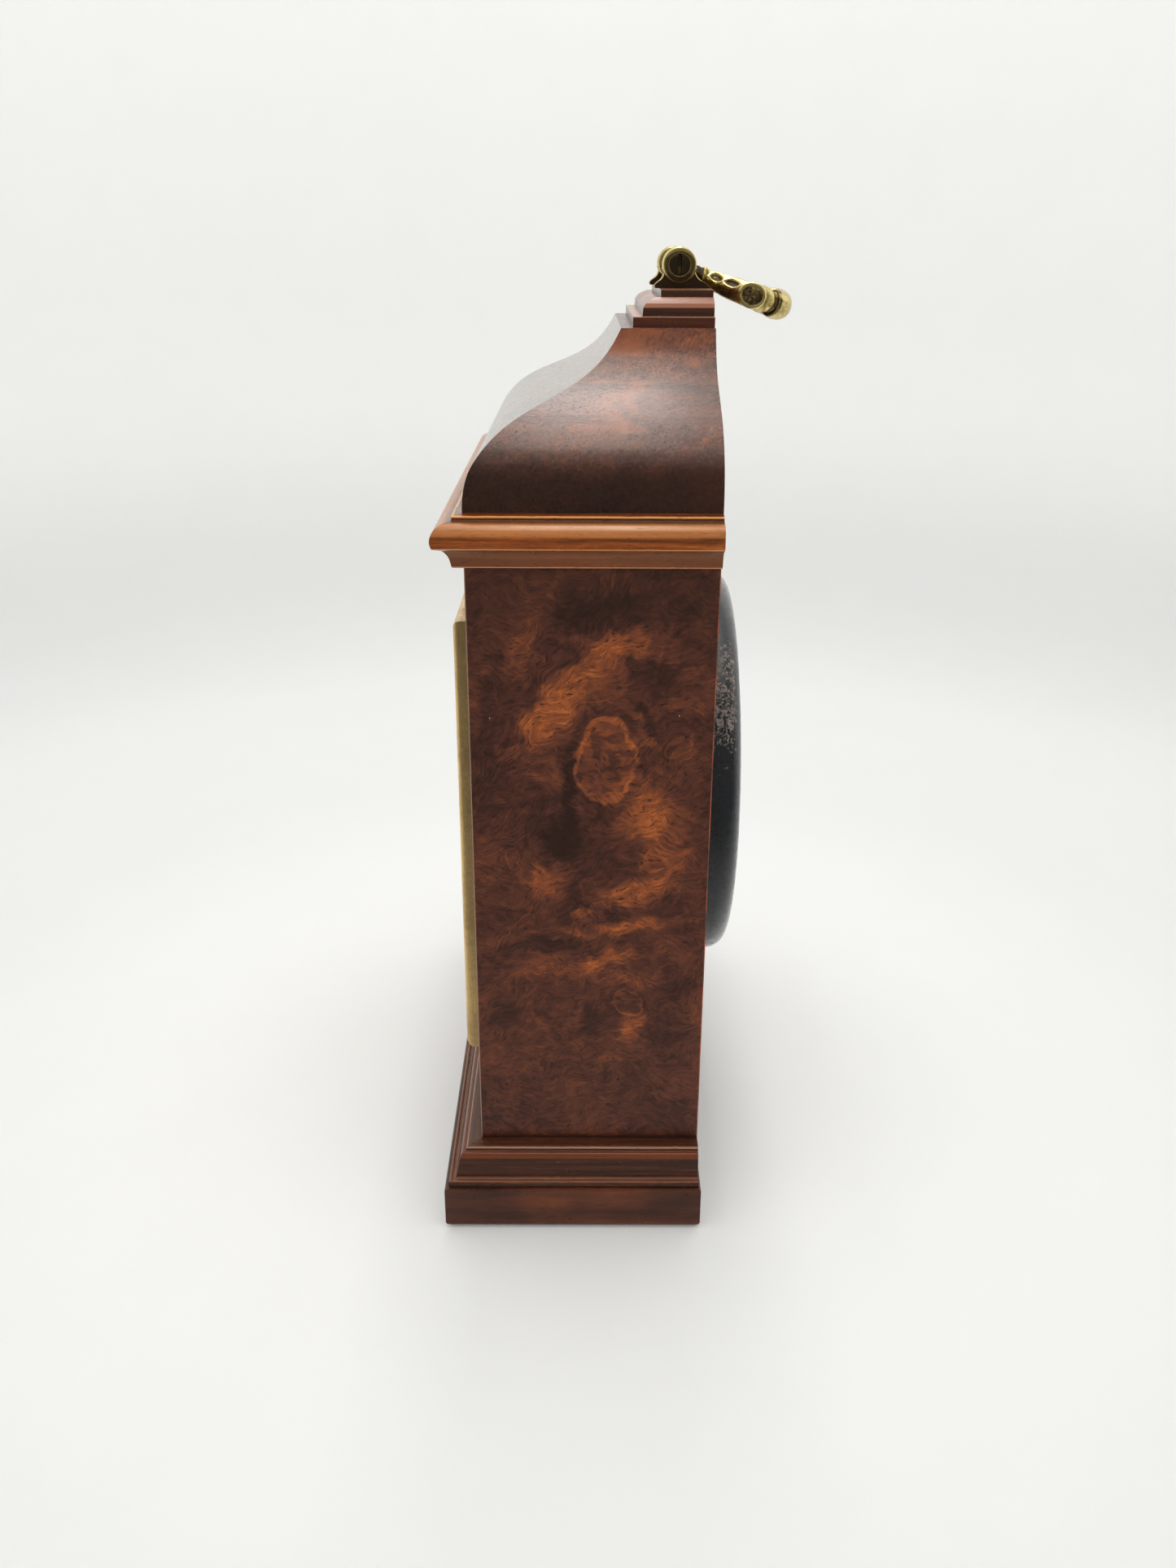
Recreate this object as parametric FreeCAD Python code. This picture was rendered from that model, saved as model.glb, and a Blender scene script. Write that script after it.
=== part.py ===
import FreeCAD, Part
import math
import os

# Bell-top bracket timepiece with a folding brass handle.
# Millimetres. +Z up, front faces -Y, X to the right seen from the front.
# The origin is the middle of the underside; the body's front plane is Y = -42.
# Pairs named ..._Y, ..._Z or ..._X are the low and high ends of a piece on that axis.
# A "place" is an (x, z) pair: the axis of something that lies along Y.

Vector = FreeCAD.Vector
os.makedirs("parts", exist_ok=True)

# ---- case -------------------------------------------------------------
BODY_W = 200.0
BODY_D = 84.0
HALF_W = BODY_W / 2
FRONT_Y = -BODY_D / 2
BACK_Y = BODY_D / 2
PLINTH_H = 18.1
PLINTH_OUT = 13.7       # beyond the body, front and sides
PLINTH_BACK = 1.0       # beyond the body at the back
PLINTH_ROUND = 3.2      # lower edges
PLINTH_CHAMFER = 0.5    # upper edges
BODY_Z = (32.3, 257.5)
BELL_Z = (275.3, 328.5)
SIDE_T = 10.0
SIDE_CHAMFER = 0.4
BOARD_T = 8.0           # front and back boards
DIAL_Z = 150.0          # height of the dial centre
OPENING_HALF = 73.0     # half the square front opening
PROFILE_REACH = 30.0    # mouldings are made this much too long, then mitred

# Mouldings: projection from the body face, height
BASE_PROFILE = [
    (0, 32.3), (4.2, 32.2), (5.4, 31.5), (5.6, 30.6), (7.0, 30.2), (7.7, 28.4), (8.3, 25.6),
    (8.8, 22.7), (9.3, 21.4), (9.8, 20.5), (10.7, 20.4), (11.6, 20.7), (12.1, 20.1),
    (12.1, 18.1), (0, 18.1)]
CROWN_PROFILE = [
    (0, 257.5), (3.1, 258.1), (3.6, 258.6), (3.9, 260.0), (4.4, 261.7), (5.4, 263.3),
    (6.4, 264.3), (8.4, 265.1), (9.4, 266.0), (9.8, 267.7), (9.2, 269.9), (8.2, 271.6),
    (6.0, 272.7), (3.6, 273.3), (3.2, 273.9), (3.2, 274.6), (0, 275.3)]
# Bell top, its hollow and the middle cap tier: inset from the body face, height
BELL_PROFILE = [
    (0, 275.3), (0.6, 282.4), (2.6, 288.5), (6.0, 293.4), (10.4, 297.9), (16.0, 301.9),
    (23.7, 305.9), (32.9, 310.2), (41.0, 315.1), (45.3, 319.0), (48.7, 323.4), (51.6, 328.5)]
HOLLOW_PROFILE = [(8, 275.3), (12, 290), (22, 299.5), (40, 309), (50, 316)]
HOLLOW_BACK_WALL = 8
MIDDLE_TIER_PROFILE = [(59.1, 331.9), (59.4, 334.8), (60.3, 336.1), (61.8, 337.1), (64.0, 338.0)]
MIDDLE_TIER_Z = (331.9, 338.0)
LOWER_TIER_INSET = 55.8
LOWER_TIER_Z = (BELL_Z[1], MIDDLE_TIER_Z[0])
UPPER_TIER_INSET = 65.7
UPPER_TIER_Z = (MIDDLE_TIER_Z[1], 340.4)

# ---- handle -----------------------------------------------------------
PIVOT_Y, PIVOT_Z = 30.85, 348.2
BOSS_R = 5.3
REST_SLOPE = 21.6       # degrees below level, folded to the back
POST_X = (17.0, 21.0)
EYE_X = (12.8, 16.9)
EYE_R = 6.3
HANDLE_PIN_R = 2.0
HEAD_R = 3.5            # head of the handle screw
HEAD_RECESS = 1.4
STUD_X, STUD_Y, STUD_R = 18.8, 30.5, 2.0
STUD_Z = (320.5, 341.0)
# Handle foot: Y, Z
FOOT_OUTLINE = [
    (22.2, 340.4), (41.4, 340.4), (41.4, 341.3), (40.0, 342.2), (38.0, 343.2), (36.6, 344.8),
    (35.9, 347.0), (25.8, 347.0), (25.4, 345.0), (24.2, 343.3), (22.7, 342.2), (22.2, 341.3)]
# Half the bail: sideways position, distance from the pivot, radius
BAIL_STATIONS = [
    (14.4, 3.0, 1.9), (14.4, 8.0, 2.15), (14.5, 11.8, 2.2), (15.3, 14.8, 2.4),
    (17.2, 18.8, 3.0), (20.2, 23.6, 3.7), (22.5, 28.2, 4.3), (22.3, 33.0, 4.4),
    (19.2, 36.7, 3.9), (15.3, 38.6, 3.5), (11.5, 39.6, 4.7), (6.0, 40.5, 5.45),
    (0.0, 40.8, 5.65)]

# ---- screws -----------------------------------------------------------
SCREW_R, SCREW_LENGTH = 1.4, 6.0
SCREW_HEAD_R, SCREW_HEAD_H = 2.8, 1.6
SLOT_W, SLOT_LENGTH, SLOT_DEPTH = 0.7, 8.0, 0.8
SCREW_CLEAR_R = 1.5

# ---- hinges -----------------------------------------------------------
PIN_OFFSET = 3.0        # hinge pin axis from the board
LEAF_T = 0.9
LEAF_W = 9.0
LEAF_HALF_H = 8.5
LEAF_SCREW_X, LEAF_SCREW_Z = 6.0, 5.0   # leaf screws, from the pin axis and the hinge's middle
KNUCKLE_R = 2.4
MIDDLE_KNUCKLE_HALF = 3.0
KNUCKLE_GAP_HALF = 3.1
HINGE_PIN_R = 1.0
PIN_FIT = 0.04          # running clearance on the hinge pins

# ---- door -------------------------------------------------------------
DOOR_HALF = 85.5
DOOR_Y = (-47.9, -42.15)
SIGHT_HALF = 73.5
REBATE_HALF = 77.0
GLASS_Y = (-45.0, -43.2)
GLASS_HALF = 76.8
DOOR_HINGE_X = -88.0
DOOR_HINGE_Y = FRONT_Y - PIN_OFFSET
DOOR_HINGE_Z = (DIAL_Z - 58.0, DIAL_Z + 58.0)
CATCH = (80.5, DIAL_Z)
CATCH_STUD_R, CATCH_STUD_OUT = 1.5, 4.0
CATCH_SOCKET_R = 2.9

# ---- back cover -------------------------------------------------------
COVER_CENTRE = (0, 152.2)
COVER_Z = COVER_CENTRE[1]
COVER_R = 79.5
COVER_MOUTH_Y = BACK_Y + 0.15
COVER_FACE_Y = 55.7
COVER_ROUND = 7.6
COVER_T = 0.7
COVER_HINGE_X = -82.2
COVER_HINGE_Y = BACK_Y + PIN_OFFSET
RING_R = (70.0, 77.0)
RING_T = 2.5
# pin x, pin y, middle z, direction the board faces along Y
DOOR_HINGES = [(DOOR_HINGE_X, DOOR_HINGE_Y, z, -1) for z in DOOR_HINGE_Z]
COVER_HINGE = (COVER_HINGE_X, COVER_HINGE_Y, COVER_Z, 1)
HINGES = DOOR_HINGES + [COVER_HINGE]

# ---- dial and hands ---------------------------------------------------
CENTRE = (0.0, DIAL_Z)
DIAL_HALF = 80
DIAL_Y = (-34.0, -32.5)
CHAPTER_R = (48.0, 70.0)
CHAPTER_T = 1.5
DIAL_SCREWS = [(sx * 76.5, DIAL_Z + sz * 76.5) for sx in (-1, 1) for sz in (-1, 1)]
DIAL_FEET = [(-34, 122), (34, 122), (-34, 182), (34, 182)]
SHOWN_HOUR, SHOWN_MINUTE = 10, 8
# Hands pointing up: X, Z from the centre
HOUR_OUTLINE = [
    (-1.3, 0), (-1.2, 24), (-4.6, 30), (-3.6, 33.5), (-1.0, 35), (0, 43.5),
    (1.0, 35), (3.6, 33.5), (4.6, 30), (1.2, 24), (1.3, 0)]
MINUTE_OUTLINE = [
    (-1.2, -12), (-1.0, 38), (-3.0, 43), (-0.9, 50), (0, 64), (0.9, 50), (3.0, 43),
    (1.0, 38), (1.2, -12)]
HOUR_HAND_Y = (-37.6, -36.8)
MINUTE_HAND_Y = (-39.7, -38.9)
HOUR_PIPE_R, CANNON_R = 3.4, 2.2

# ---- movement frame ---------------------------------------------------
FRONT_PLATE_Y = (-22.0, -20.0)
BACK_PLATE_Y = (22.0, 24.0)
BRIDGE_Y = (38.0, 40.0)
PLATE_HALF_W, PLATE_Z = 44.0, (94.0, 200.0)
PLATE_CORNER_R = 5.0
PILLARS = [(-38, 100), (38, 100), (-38, 194), (38, 194)]
BRIDGE_FEET = [(-14, 190), (36, 184), (14, 156)]
# Bridge: X, Z
BRIDGE_OUTLINE = [
    (-18, 186), (-18, 194), (-10, 196), (30, 192), (40, 188), (40, 180), (30, 168),
    (18, 152), (10, 152), (10, 160), (14, 170), (8, 172), (-6, 172)]
SHOULDER_GAP = 0.4      # between an arbor's shoulder and the plate
PIVOT_FIT = 0.03
BORE_FIT = 0.01         # hands, nut and cannon on their pipes and arbor
CENTRE_PIVOT_R, INTERMEDIATE_PIVOT_R, THIRD_PIVOT_R, FOURTH_PIVOT_R = 1.3, 1.6, 0.8, 0.6
ESCAPE_PIVOT_R, PALLET_PIVOT_R, BALANCE_PIVOT_R = 0.45, 0.35, 0.25
BARREL_PIVOT_R = 3.2
POST_R = 1.2            # stub posts on the front plate

# ---- gearing ----------------------------------------------------------
PRESSURE_ANGLE = math.radians(28)
ADDENDUM, DEDENDUM = 0.9, 1.2   # in modules
FLANK_STEPS = 3
# each module is that of the mesh driven by the wheel it is named after
BARREL_MODULE, INTERMEDIATE_MODULE, CENTRE_MODULE = 0.65, 0.50, 0.42
THIRD_MODULE, FOURTH_MODULE = 0.36, 0.30
CANNON_MODULE, HOUR_MODULE = 0.60, 0.64
# TEETH are on wheels, LEAVES on pinions
BARREL_TEETH = 84
INTERMEDIATE_LEAVES, INTERMEDIATE_TEETH = 12, 72
CENTRE_LEAVES, CENTRE_TEETH = 12, 80
THIRD_LEAVES, THIRD_TEETH = 10, 75
FOURTH_LEAVES, FOURTH_TEETH = 10, 80
ESCAPE_LEAVES, ESCAPE_TEETH = 10, 15
CANNON_LEAVES, MINUTE_TEETH = 16, 48
MINUTE_LEAVES, HOUR_TEETH = 12, 48


def polar(place, radius, degrees):
    angle = math.radians(degrees)
    return (place[0] + radius * math.cos(angle), place[1] + radius * math.sin(angle))


def heading(start, end):
    return math.degrees(math.atan2(end[1] - start[1], end[0] - start[0]))


def along(place, degrees, x, y):
    """A point x along a direction from place and y to its left."""
    return polar(polar(place, x, degrees), y, degrees + 90)


def centre_distance(teeth, leaves, module):
    return (teeth + leaves) * module / 2


def mesh_phases(place, other, other_teeth):
    """Phases that put a tooth of the first wheel into a gap of the other."""
    direction = heading(place, other)
    return direction, direction + 180 + 180.0 / other_teeth


# ---- places of the arbors ---------------------------------------------
BARREL_DROP = 38.0
BARREL = (0.0, DIAL_Z - BARREL_DROP)
# the intermediate arbor is where its distances from barrel and centre meet, on the left
FROM_BARREL = centre_distance(BARREL_TEETH, INTERMEDIATE_LEAVES, BARREL_MODULE)
FROM_CENTRE = centre_distance(INTERMEDIATE_TEETH, CENTRE_LEAVES, INTERMEDIATE_MODULE)
INTERMEDIATE_DROP = (FROM_CENTRE ** 2 - FROM_BARREL ** 2 + BARREL_DROP ** 2) / (2 * BARREL_DROP)
INTERMEDIATE = (-math.sqrt(FROM_CENTRE ** 2 - INTERMEDIATE_DROP ** 2), DIAL_Z - INTERMEDIATE_DROP)
THIRD = polar(CENTRE, centre_distance(CENTRE_TEETH, THIRD_LEAVES, CENTRE_MODULE), 150)
FOURTH = polar(THIRD, centre_distance(THIRD_TEETH, FOURTH_LEAVES, THIRD_MODULE), 75)
ESCAPE = polar(FOURTH, centre_distance(FOURTH_TEETH, ESCAPE_LEAVES, FOURTH_MODULE), 20)
ESCAPEMENT_LINE = -15.0     # heading from the escape arbor through pallets and balance
PALLET = polar(ESCAPE, 8.7, ESCAPEMENT_LINE)
BALANCE = polar(PALLET, 12.0, ESCAPEMENT_LINE)
MINUTE_POST = polar(CENTRE, centre_distance(MINUTE_TEETH, CANNON_LEAVES, CANNON_MODULE), 45)
CLICK_POST = (-15.2, 118.5)

BARREL_PHASE, INTERMEDIATE_PINION_PHASE = mesh_phases(BARREL, INTERMEDIATE, INTERMEDIATE_LEAVES)
INTERMEDIATE_PHASE, CENTRE_PINION_PHASE = mesh_phases(INTERMEDIATE, CENTRE, CENTRE_LEAVES)
CENTRE_PHASE, THIRD_PINION_PHASE = mesh_phases(CENTRE, THIRD, THIRD_LEAVES)
THIRD_PHASE, FOURTH_PINION_PHASE = mesh_phases(THIRD, FOURTH, FOURTH_LEAVES)
FOURTH_PHASE, ESCAPE_PINION_PHASE = mesh_phases(FOURTH, ESCAPE, ESCAPE_LEAVES)
CANNON_PHASE, MINUTE_PHASE = mesh_phases(CENTRE, MINUTE_POST, MINUTE_TEETH)
MINUTE_PINION_PHASE, HOUR_PHASE = mesh_phases(MINUTE_POST, CENTRE, HOUR_TEETH)


# ======================= shape helpers ================================
def save(name, shape):
    if isinstance(shape, list):
        shape = Part.makeCompound(shape)
    shape.exportStep("parts/" + name + ".step")


def box(x0, x1, y0, y1, z0, z1):
    return Part.makeBox(x1 - x0, y1 - y0, z1 - z0, Vector(x0, y0, z0))


def dial_square(half, y0, y1):
    """A square slab centred on the dial."""
    return box(-half, half, y0, y1, DIAL_Z - half, DIAL_Z + half)


def xcyl(radius, y, z, x0, x1):
    return Part.makeCylinder(radius, x1 - x0, Vector(x0, y, z), Vector(1, 0, 0))


def ycyl(radius, place, y0, y1):
    start = Vector(place[0], y0, place[1])
    return Part.makeCylinder(radius, y1 - y0, start, Vector(0, 1, 0))


def zcyl(radius, x, y, z0, z1):
    return Part.makeCylinder(radius, z1 - z0, Vector(x, y, z0), Vector(0, 0, 1))


def fuse(first, *rest):
    return first.fuse(list(rest)).removeSplitter()


def drill(shape, radius, places, y0, y1):
    for place in places:
        shape = shape.cut(ycyl(radius, place, y0, y1))
    return shape


def face_of(points):
    return Part.Face(Part.makePolygon(points + [points[0]]))


def prism_x(points, x0, x1):
    """An outline in Y and Z extruded along X."""
    return face_of([Vector(x0, y, z) for y, z in points]).extrude(Vector(x1 - x0, 0, 0))


def prism_y(outline, y0, y1, holes=()):
    """An outline in X and Z, with holes, extruded along Y."""
    face = face_of([Vector(x, y0, z) for x, z in outline])
    for hole in holes:
        face = face.cut(face_of([Vector(x, y0, z) for x, z in hole]))
    return face.extrude(Vector(0, y1 - y0, 0)).Solids[0]


def prism_z(points, z0, z1):
    return face_of([Vector(x, y, z0) for x, y in points]).extrude(Vector(0, 0, z1 - z0))


def ring_points(place, radius, count):
    angles = [2 * math.pi * i / count for i in range(count)]
    return [(place[0] + radius * math.cos(a), place[1] + radius * math.sin(a)) for a in angles]


def bore(place, radius, sides=24):
    """A many-sided bore whose flats lie just outside a shaft of this radius."""
    return ring_points(place, (radius + 0.012) / math.cos(math.pi / sides), sides)


def spline_edge(points):
    curve = Part.BSplineCurve()
    curve.interpolate(points)
    return curve.toShape()


def spiral(place, r0, r1, turns, thickness, y0, y1, segments):
    """A spiral strip, with this many straight segments to a turn."""
    count = int(turns * segments)
    inner, outer = [], []
    for i in range(count + 1):
        a = 2 * math.pi * turns * i / count
        r = r0 + (r1 - r0) * i / count
        for points, edge in ((inner, r - thickness / 2), (outer, r + thickness / 2)):
            points.append((place[0] + edge * math.cos(a), place[1] + edge * math.sin(a)))
    return prism_y(inner + outer[::-1], y0, y1)


def screw(place, seat_y, way):
    """A slotted cheese-head screw: seat_y is under its head, way its driving direction on Y."""
    x, z = place
    seat, axis = Vector(x, seat_y, z), Vector(0, way, 0)
    body = fuse(Part.makeCylinder(SCREW_R, SCREW_LENGTH, seat, axis),
                Part.makeCylinder(SCREW_HEAD_R, SCREW_HEAD_H, seat, axis * -1))
    top = seat_y - way * SCREW_HEAD_H
    y0, y1 = sorted((top, top + way * SLOT_DEPTH))
    return body.cut(box(x - SLOT_W / 2, x + SLOT_W / 2, y0, y1,
                        z - SLOT_LENGTH / 2, z + SLOT_LENGTH / 2))


# ======================= gear helpers =================================
def gear(place, teeth, module, phase, y0, y1, holes=()):
    """Involute teeth as straight facets. A tooth stands at phase, in degrees."""
    pitch_r = teeth * module / 2
    tip_r, root_r = pitch_r + ADDENDUM * module, pitch_r - DEDENDUM * module
    base_r = pitch_r * math.cos(PRESSURE_ANGLE)
    thinning = 0.035 + 0.09 * module    # taken off each tooth for backlash

    def involute(angle):
        return math.tan(angle) - angle

    half_angle = math.pi / (2 * teeth) - thinning / (2 * pitch_r)
    low_r = max(base_r * 1.0005, root_r)
    side = []   # radius, half the tooth's angle there
    for k in range(FLANK_STEPS + 1):
        r = low_r + (tip_r - low_r) * k / FLANK_STEPS
        roll = involute(math.acos(min(1.0, base_r / r)))
        side.append((r, half_angle + involute(PRESSURE_ANGLE) - roll))
    if root_r < low_r - 1e-6:
        root_half = min(side[0][1] + 0.02 * math.pi / teeth, math.pi / teeth * 0.96)
        side.insert(0, (root_r, root_half))
    tooth = [(r, -half) for r, half in side] + side[::-1]
    points = []
    for i in range(teeth):
        middle = math.radians(phase) + 2 * math.pi * i / teeth
        points += [(place[0] + r * math.cos(middle + a), place[1] + r * math.sin(middle + a))
                   for r, a in tooth]
    return prism_y(points, y0, y1, holes)


def windows(place, r_in, r_out, spokes, width, start, steps=6):
    """Openings between a wheel's spokes."""
    half_in, half_out = math.asin(width / 2 / r_in), math.asin(width / 2 / r_out)
    openings = []
    for i in range(spokes):
        a0 = math.radians(start) + 2 * math.pi * i / spokes
        a1 = a0 + 2 * math.pi / spokes
        arc = [(r_out, a0 + half_out + (a1 - a0 - 2 * half_out) * k / steps)
               for k in range(steps + 1)]
        arc += [(r_in, a1 - half_in - (a1 - a0 - 2 * half_in) * k / steps)
                for k in range(steps + 1)]
        openings.append([(place[0] + r * math.cos(a), place[1] + r * math.sin(a))
                         for r, a in arc])
    return openings


def wheel(place, teeth, module, phase, y0, y1, shaft_r, spokes, hub_r, spoke_w):
    rim_r = teeth * module / 2 - 2.4 * module - 1.2
    openings = windows(place, hub_r, rim_r, spokes, spoke_w, 20.0)
    return gear(place, teeth, module, phase, y0, y1, [bore(place, shaft_r)] + openings)


def arbor(place, radius, pivot_r, front, back, front_end=None):
    """A shaft between two plates, given by their Y, with a pivot through each."""
    if front_end is None:
        front_end = front[0]
    y0, y1 = front[1] + SHOULDER_GAP, back[0] - SHOULDER_GAP
    return fuse(ycyl(radius, place, y0, y1), ycyl(pivot_r, place, front_end, y0),
                ycyl(pivot_r, place, y1, back[1]))


# ======================= case =========================================
def plinth():
    block = box(-HALF_W - PLINTH_OUT, HALF_W + PLINTH_OUT,
                FRONT_Y - PLINTH_OUT, BACK_Y + PLINTH_BACK, 0, PLINTH_H)
    block = block.makeFillet(PLINTH_ROUND, [e for e in block.Edges if e.BoundBox.ZMax < 0.01])
    return block.makeChamfer(
        PLINTH_CHAMFER, [e for e in block.Edges if e.BoundBox.ZMin > PLINTH_H - 0.01])


def base_board():
    return box(-HALF_W, HALF_W, FRONT_Y, BACK_Y, PLINTH_H, BODY_Z[0])


def top_board():
    return box(-HALF_W, HALF_W, FRONT_Y, BACK_Y, BODY_Z[1], BELL_Z[0])


def mitred(profile):
    """Front, left and right lengths of a moulding, mitred at the front corners."""
    z0 = min(z for _, z in profile) - 1
    z1 = max(z for _, z in profile) + 1
    far_x, far_y = HALF_W + PROFILE_REACH, FRONT_Y - PROFILE_REACH
    front = prism_x([(FRONT_Y - out, z) for out, z in profile], -far_x, far_x).common(
        prism_z([(-far_x, far_y), (far_x, far_y), (HALF_W, FRONT_Y), (-HALF_W, FRONT_Y)], z0, z1))
    right = prism_y([(HALF_W + out, z) for out, z in profile], far_y, BACK_Y).common(
        prism_z([(HALF_W, FRONT_Y), (far_x, far_y), (far_x, BACK_Y), (HALF_W, BACK_Y)], z0, z1))
    left = right.mirror(Vector(0, 0, 0), Vector(1, 0, 0))
    return [front.Solids[0], left.Solids[0], right.Solids[0]]


def base_moulding():
    return mitred(BASE_PROFILE)


def crown_moulding():
    return mitred(CROWN_PROFILE)


def side_panel_right():
    panel = box(HALF_W - SIDE_T, HALF_W, FRONT_Y, BACK_Y, *BODY_Z)
    outer_uprights = [e for e in panel.Edges if e.BoundBox.XMin > HALF_W - 0.01
                      and e.BoundBox.ZMax - e.BoundBox.ZMin > 100]
    return panel.makeChamfer(SIDE_CHAMFER, outer_uprights)


def leaf_screw_places(x, z):
    return [(x - LEAF_SCREW_X, z - LEAF_SCREW_Z), (x - LEAF_SCREW_X, z + LEAF_SCREW_Z)]


def side_panel_left():
    """The right panel mirrored, bored for the door hinges' screws."""
    panel = side_panel_right().mirror(Vector(0, 0, 0), Vector(1, 0, 0))
    for x, _, z, _ in DOOR_HINGES:
        panel = drill(panel, SCREW_R, leaf_screw_places(x, z), FRONT_Y - 1, FRONT_Y + 5.3)
    return panel


def front_board():
    inner = HALF_W - SIDE_T
    board = box(-inner, inner, FRONT_Y, FRONT_Y + BOARD_T, *BODY_Z)
    board = board.cut(dial_square(OPENING_HALF, FRONT_Y - 1, FRONT_Y + BOARD_T + 1))
    board = board.cut(ycyl(CATCH_SOCKET_R, CATCH, FRONT_Y - 1, FRONT_Y + 7.5))
    return drill(board, SCREW_R, DIAL_SCREWS, -38.6, -33)


RING_SCREWS = [polar(COVER_CENTRE, sum(RING_R) / 2, a) for a in (45, 135, 225, 315)]


def back_board():
    inner = HALF_W - SIDE_T
    board = box(-inner, inner, BACK_Y - BOARD_T, BACK_Y, *BODY_Z)
    board = board.cut(ycyl(RING_R[0], COVER_CENTRE, BACK_Y - BOARD_T - 1, BACK_Y + 1))
    hinge_places = leaf_screw_places(COVER_HINGE_X, COVER_Z)
    board = drill(board, SCREW_R, hinge_places, BACK_Y - 5.4, BACK_Y + 1)
    return drill(board, SCREW_R, RING_SCREWS, BACK_Y - 3.6, BACK_Y + 1)


def crossed(profile, back_y):
    """An inset profile run across the front and crossed with the same one on both sides."""
    front = [(FRONT_Y + inset, z) for inset, z in profile]
    solid = prism_x(front + [(back_y, profile[-1][1]), (back_y, profile[0][1])],
                    -HALF_W, HALF_W)
    sides = [(HALF_W - inset, z) for inset, z in profile]
    sides += [(-HALF_W + inset, z) for inset, z in reversed(profile)]
    return solid.common(prism_y(sides, FRONT_Y, BACK_Y + 1))


def stud_holes(shape, z0, z1):
    for side in (-1, 1):
        shape = shape.cut(zcyl(STUD_R + 0.02, side * STUD_X, STUD_Y, z0, z1))
    return shape


def bell_top():
    """A front ogee extruded across, crossed with side ogees extruded backwards."""
    x, (z0, z1) = -HALF_W - 1, BELL_Z
    front = [Vector(x, FRONT_Y + inset, z) for inset, z in BELL_PROFILE]
    top_back, low_back = Vector(x, BACK_Y, z1), Vector(x, BACK_Y, z0)
    front_wire = Part.Wire([
        spline_edge(front), Part.makeLine(front[-1], top_back),
        Part.makeLine(top_back, low_back), Part.makeLine(low_back, front[0])])
    bell = Part.Face(front_wire).extrude(Vector(BODY_W + 2, 0, 0))
    y = FRONT_Y - 1
    right = [Vector(HALF_W - inset, y, z) for inset, z in BELL_PROFILE]
    left = [Vector(-HALF_W + inset, y, z) for inset, z in BELL_PROFILE]
    side_wire = Part.Wire([
        spline_edge(right), Part.makeLine(right[-1], left[-1]),
        spline_edge(left), Part.makeLine(left[0], right[0])])
    bell = bell.common(Part.Face(side_wire).extrude(Vector(0, BODY_D + 2, 0)))
    bell = bell.cut(crossed(HOLLOW_PROFILE, BACK_Y - HOLLOW_BACK_WALL))
    return stud_holes(bell, STUD_Z[0] - 0.2, z1 + 1.5).Solids[0]


def square_tier(inset, z0, z1):
    slab = box(-HALF_W + inset, HALF_W - inset, FRONT_Y + inset, BACK_Y, z0, z1)
    return stud_holes(slab, z0 - 1, z1 + 1)


def cap_tier_lower():
    return square_tier(LOWER_TIER_INSET, *LOWER_TIER_Z)


def cap_tier_middle():
    z0, z1 = MIDDLE_TIER_Z
    return stud_holes(crossed(MIDDLE_TIER_PROFILE, BACK_Y), z0 - 1, z1 + 1).Solids[0]


def cap_tier_upper():
    return square_tier(UPPER_TIER_INSET, *UPPER_TIER_Z)


# ======================= handle =======================================
def pivot_cyl(radius, side, near, far):
    """A cylinder on the handle's pivot axis, on side -1 (left) or 1 (right)."""
    return xcyl(radius, PIVOT_Y, PIVOT_Z, *sorted((side * near, side * far)))


def handle_post(side):
    near, far = POST_X
    foot = prism_x(FOOT_OUTLINE, *sorted((side * near, side * (far - 0.5))))
    boss = pivot_cyl(BOSS_R, side, near, far)
    outer_rim = [e for e in boss.Edges if abs(e.BoundBox.XMin - side * far) < 0.01
                 and abs(e.BoundBox.XMax - side * far) < 0.01]
    boss = boss.makeFillet(0.6, outer_rim)
    post = fuse(foot, boss, zcyl(STUD_R, side * STUD_X, STUD_Y, *STUD_Z))
    post = post.cut(pivot_cyl(HEAD_R + 0.05, side, far - HEAD_RECESS, far + 1))
    return post.cut(pivot_cyl(HANDLE_PIN_R + 0.03, side, near - 1, far + 1)).Solids[0]


def handle_posts():
    return [handle_post(side) for side in (-1, 1)]


def handle_screw(side):
    far = POST_X[1]
    body = fuse(pivot_cyl(HEAD_R, side, far - HEAD_RECESS, far + 0.15),
                pivot_cyl(HANDLE_PIN_R, side, 12.2, far - 1.3))
    x0, x1 = sorted((side * (far - 0.75), side * (far + 1)))
    return body.cut(box(x0, x1, PIVOT_Y - 0.5, PIVOT_Y + 0.5, PIVOT_Z - 5, PIVOT_Z + 5))


def handle_screws():
    return [handle_screw(side) for side in (-1, 1)]


def bail_point(x, distance):
    slope = math.radians(REST_SLOPE)
    return Vector(x, PIVOT_Y + distance * math.cos(slope), PIVOT_Z - distance * math.sin(slope))


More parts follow.
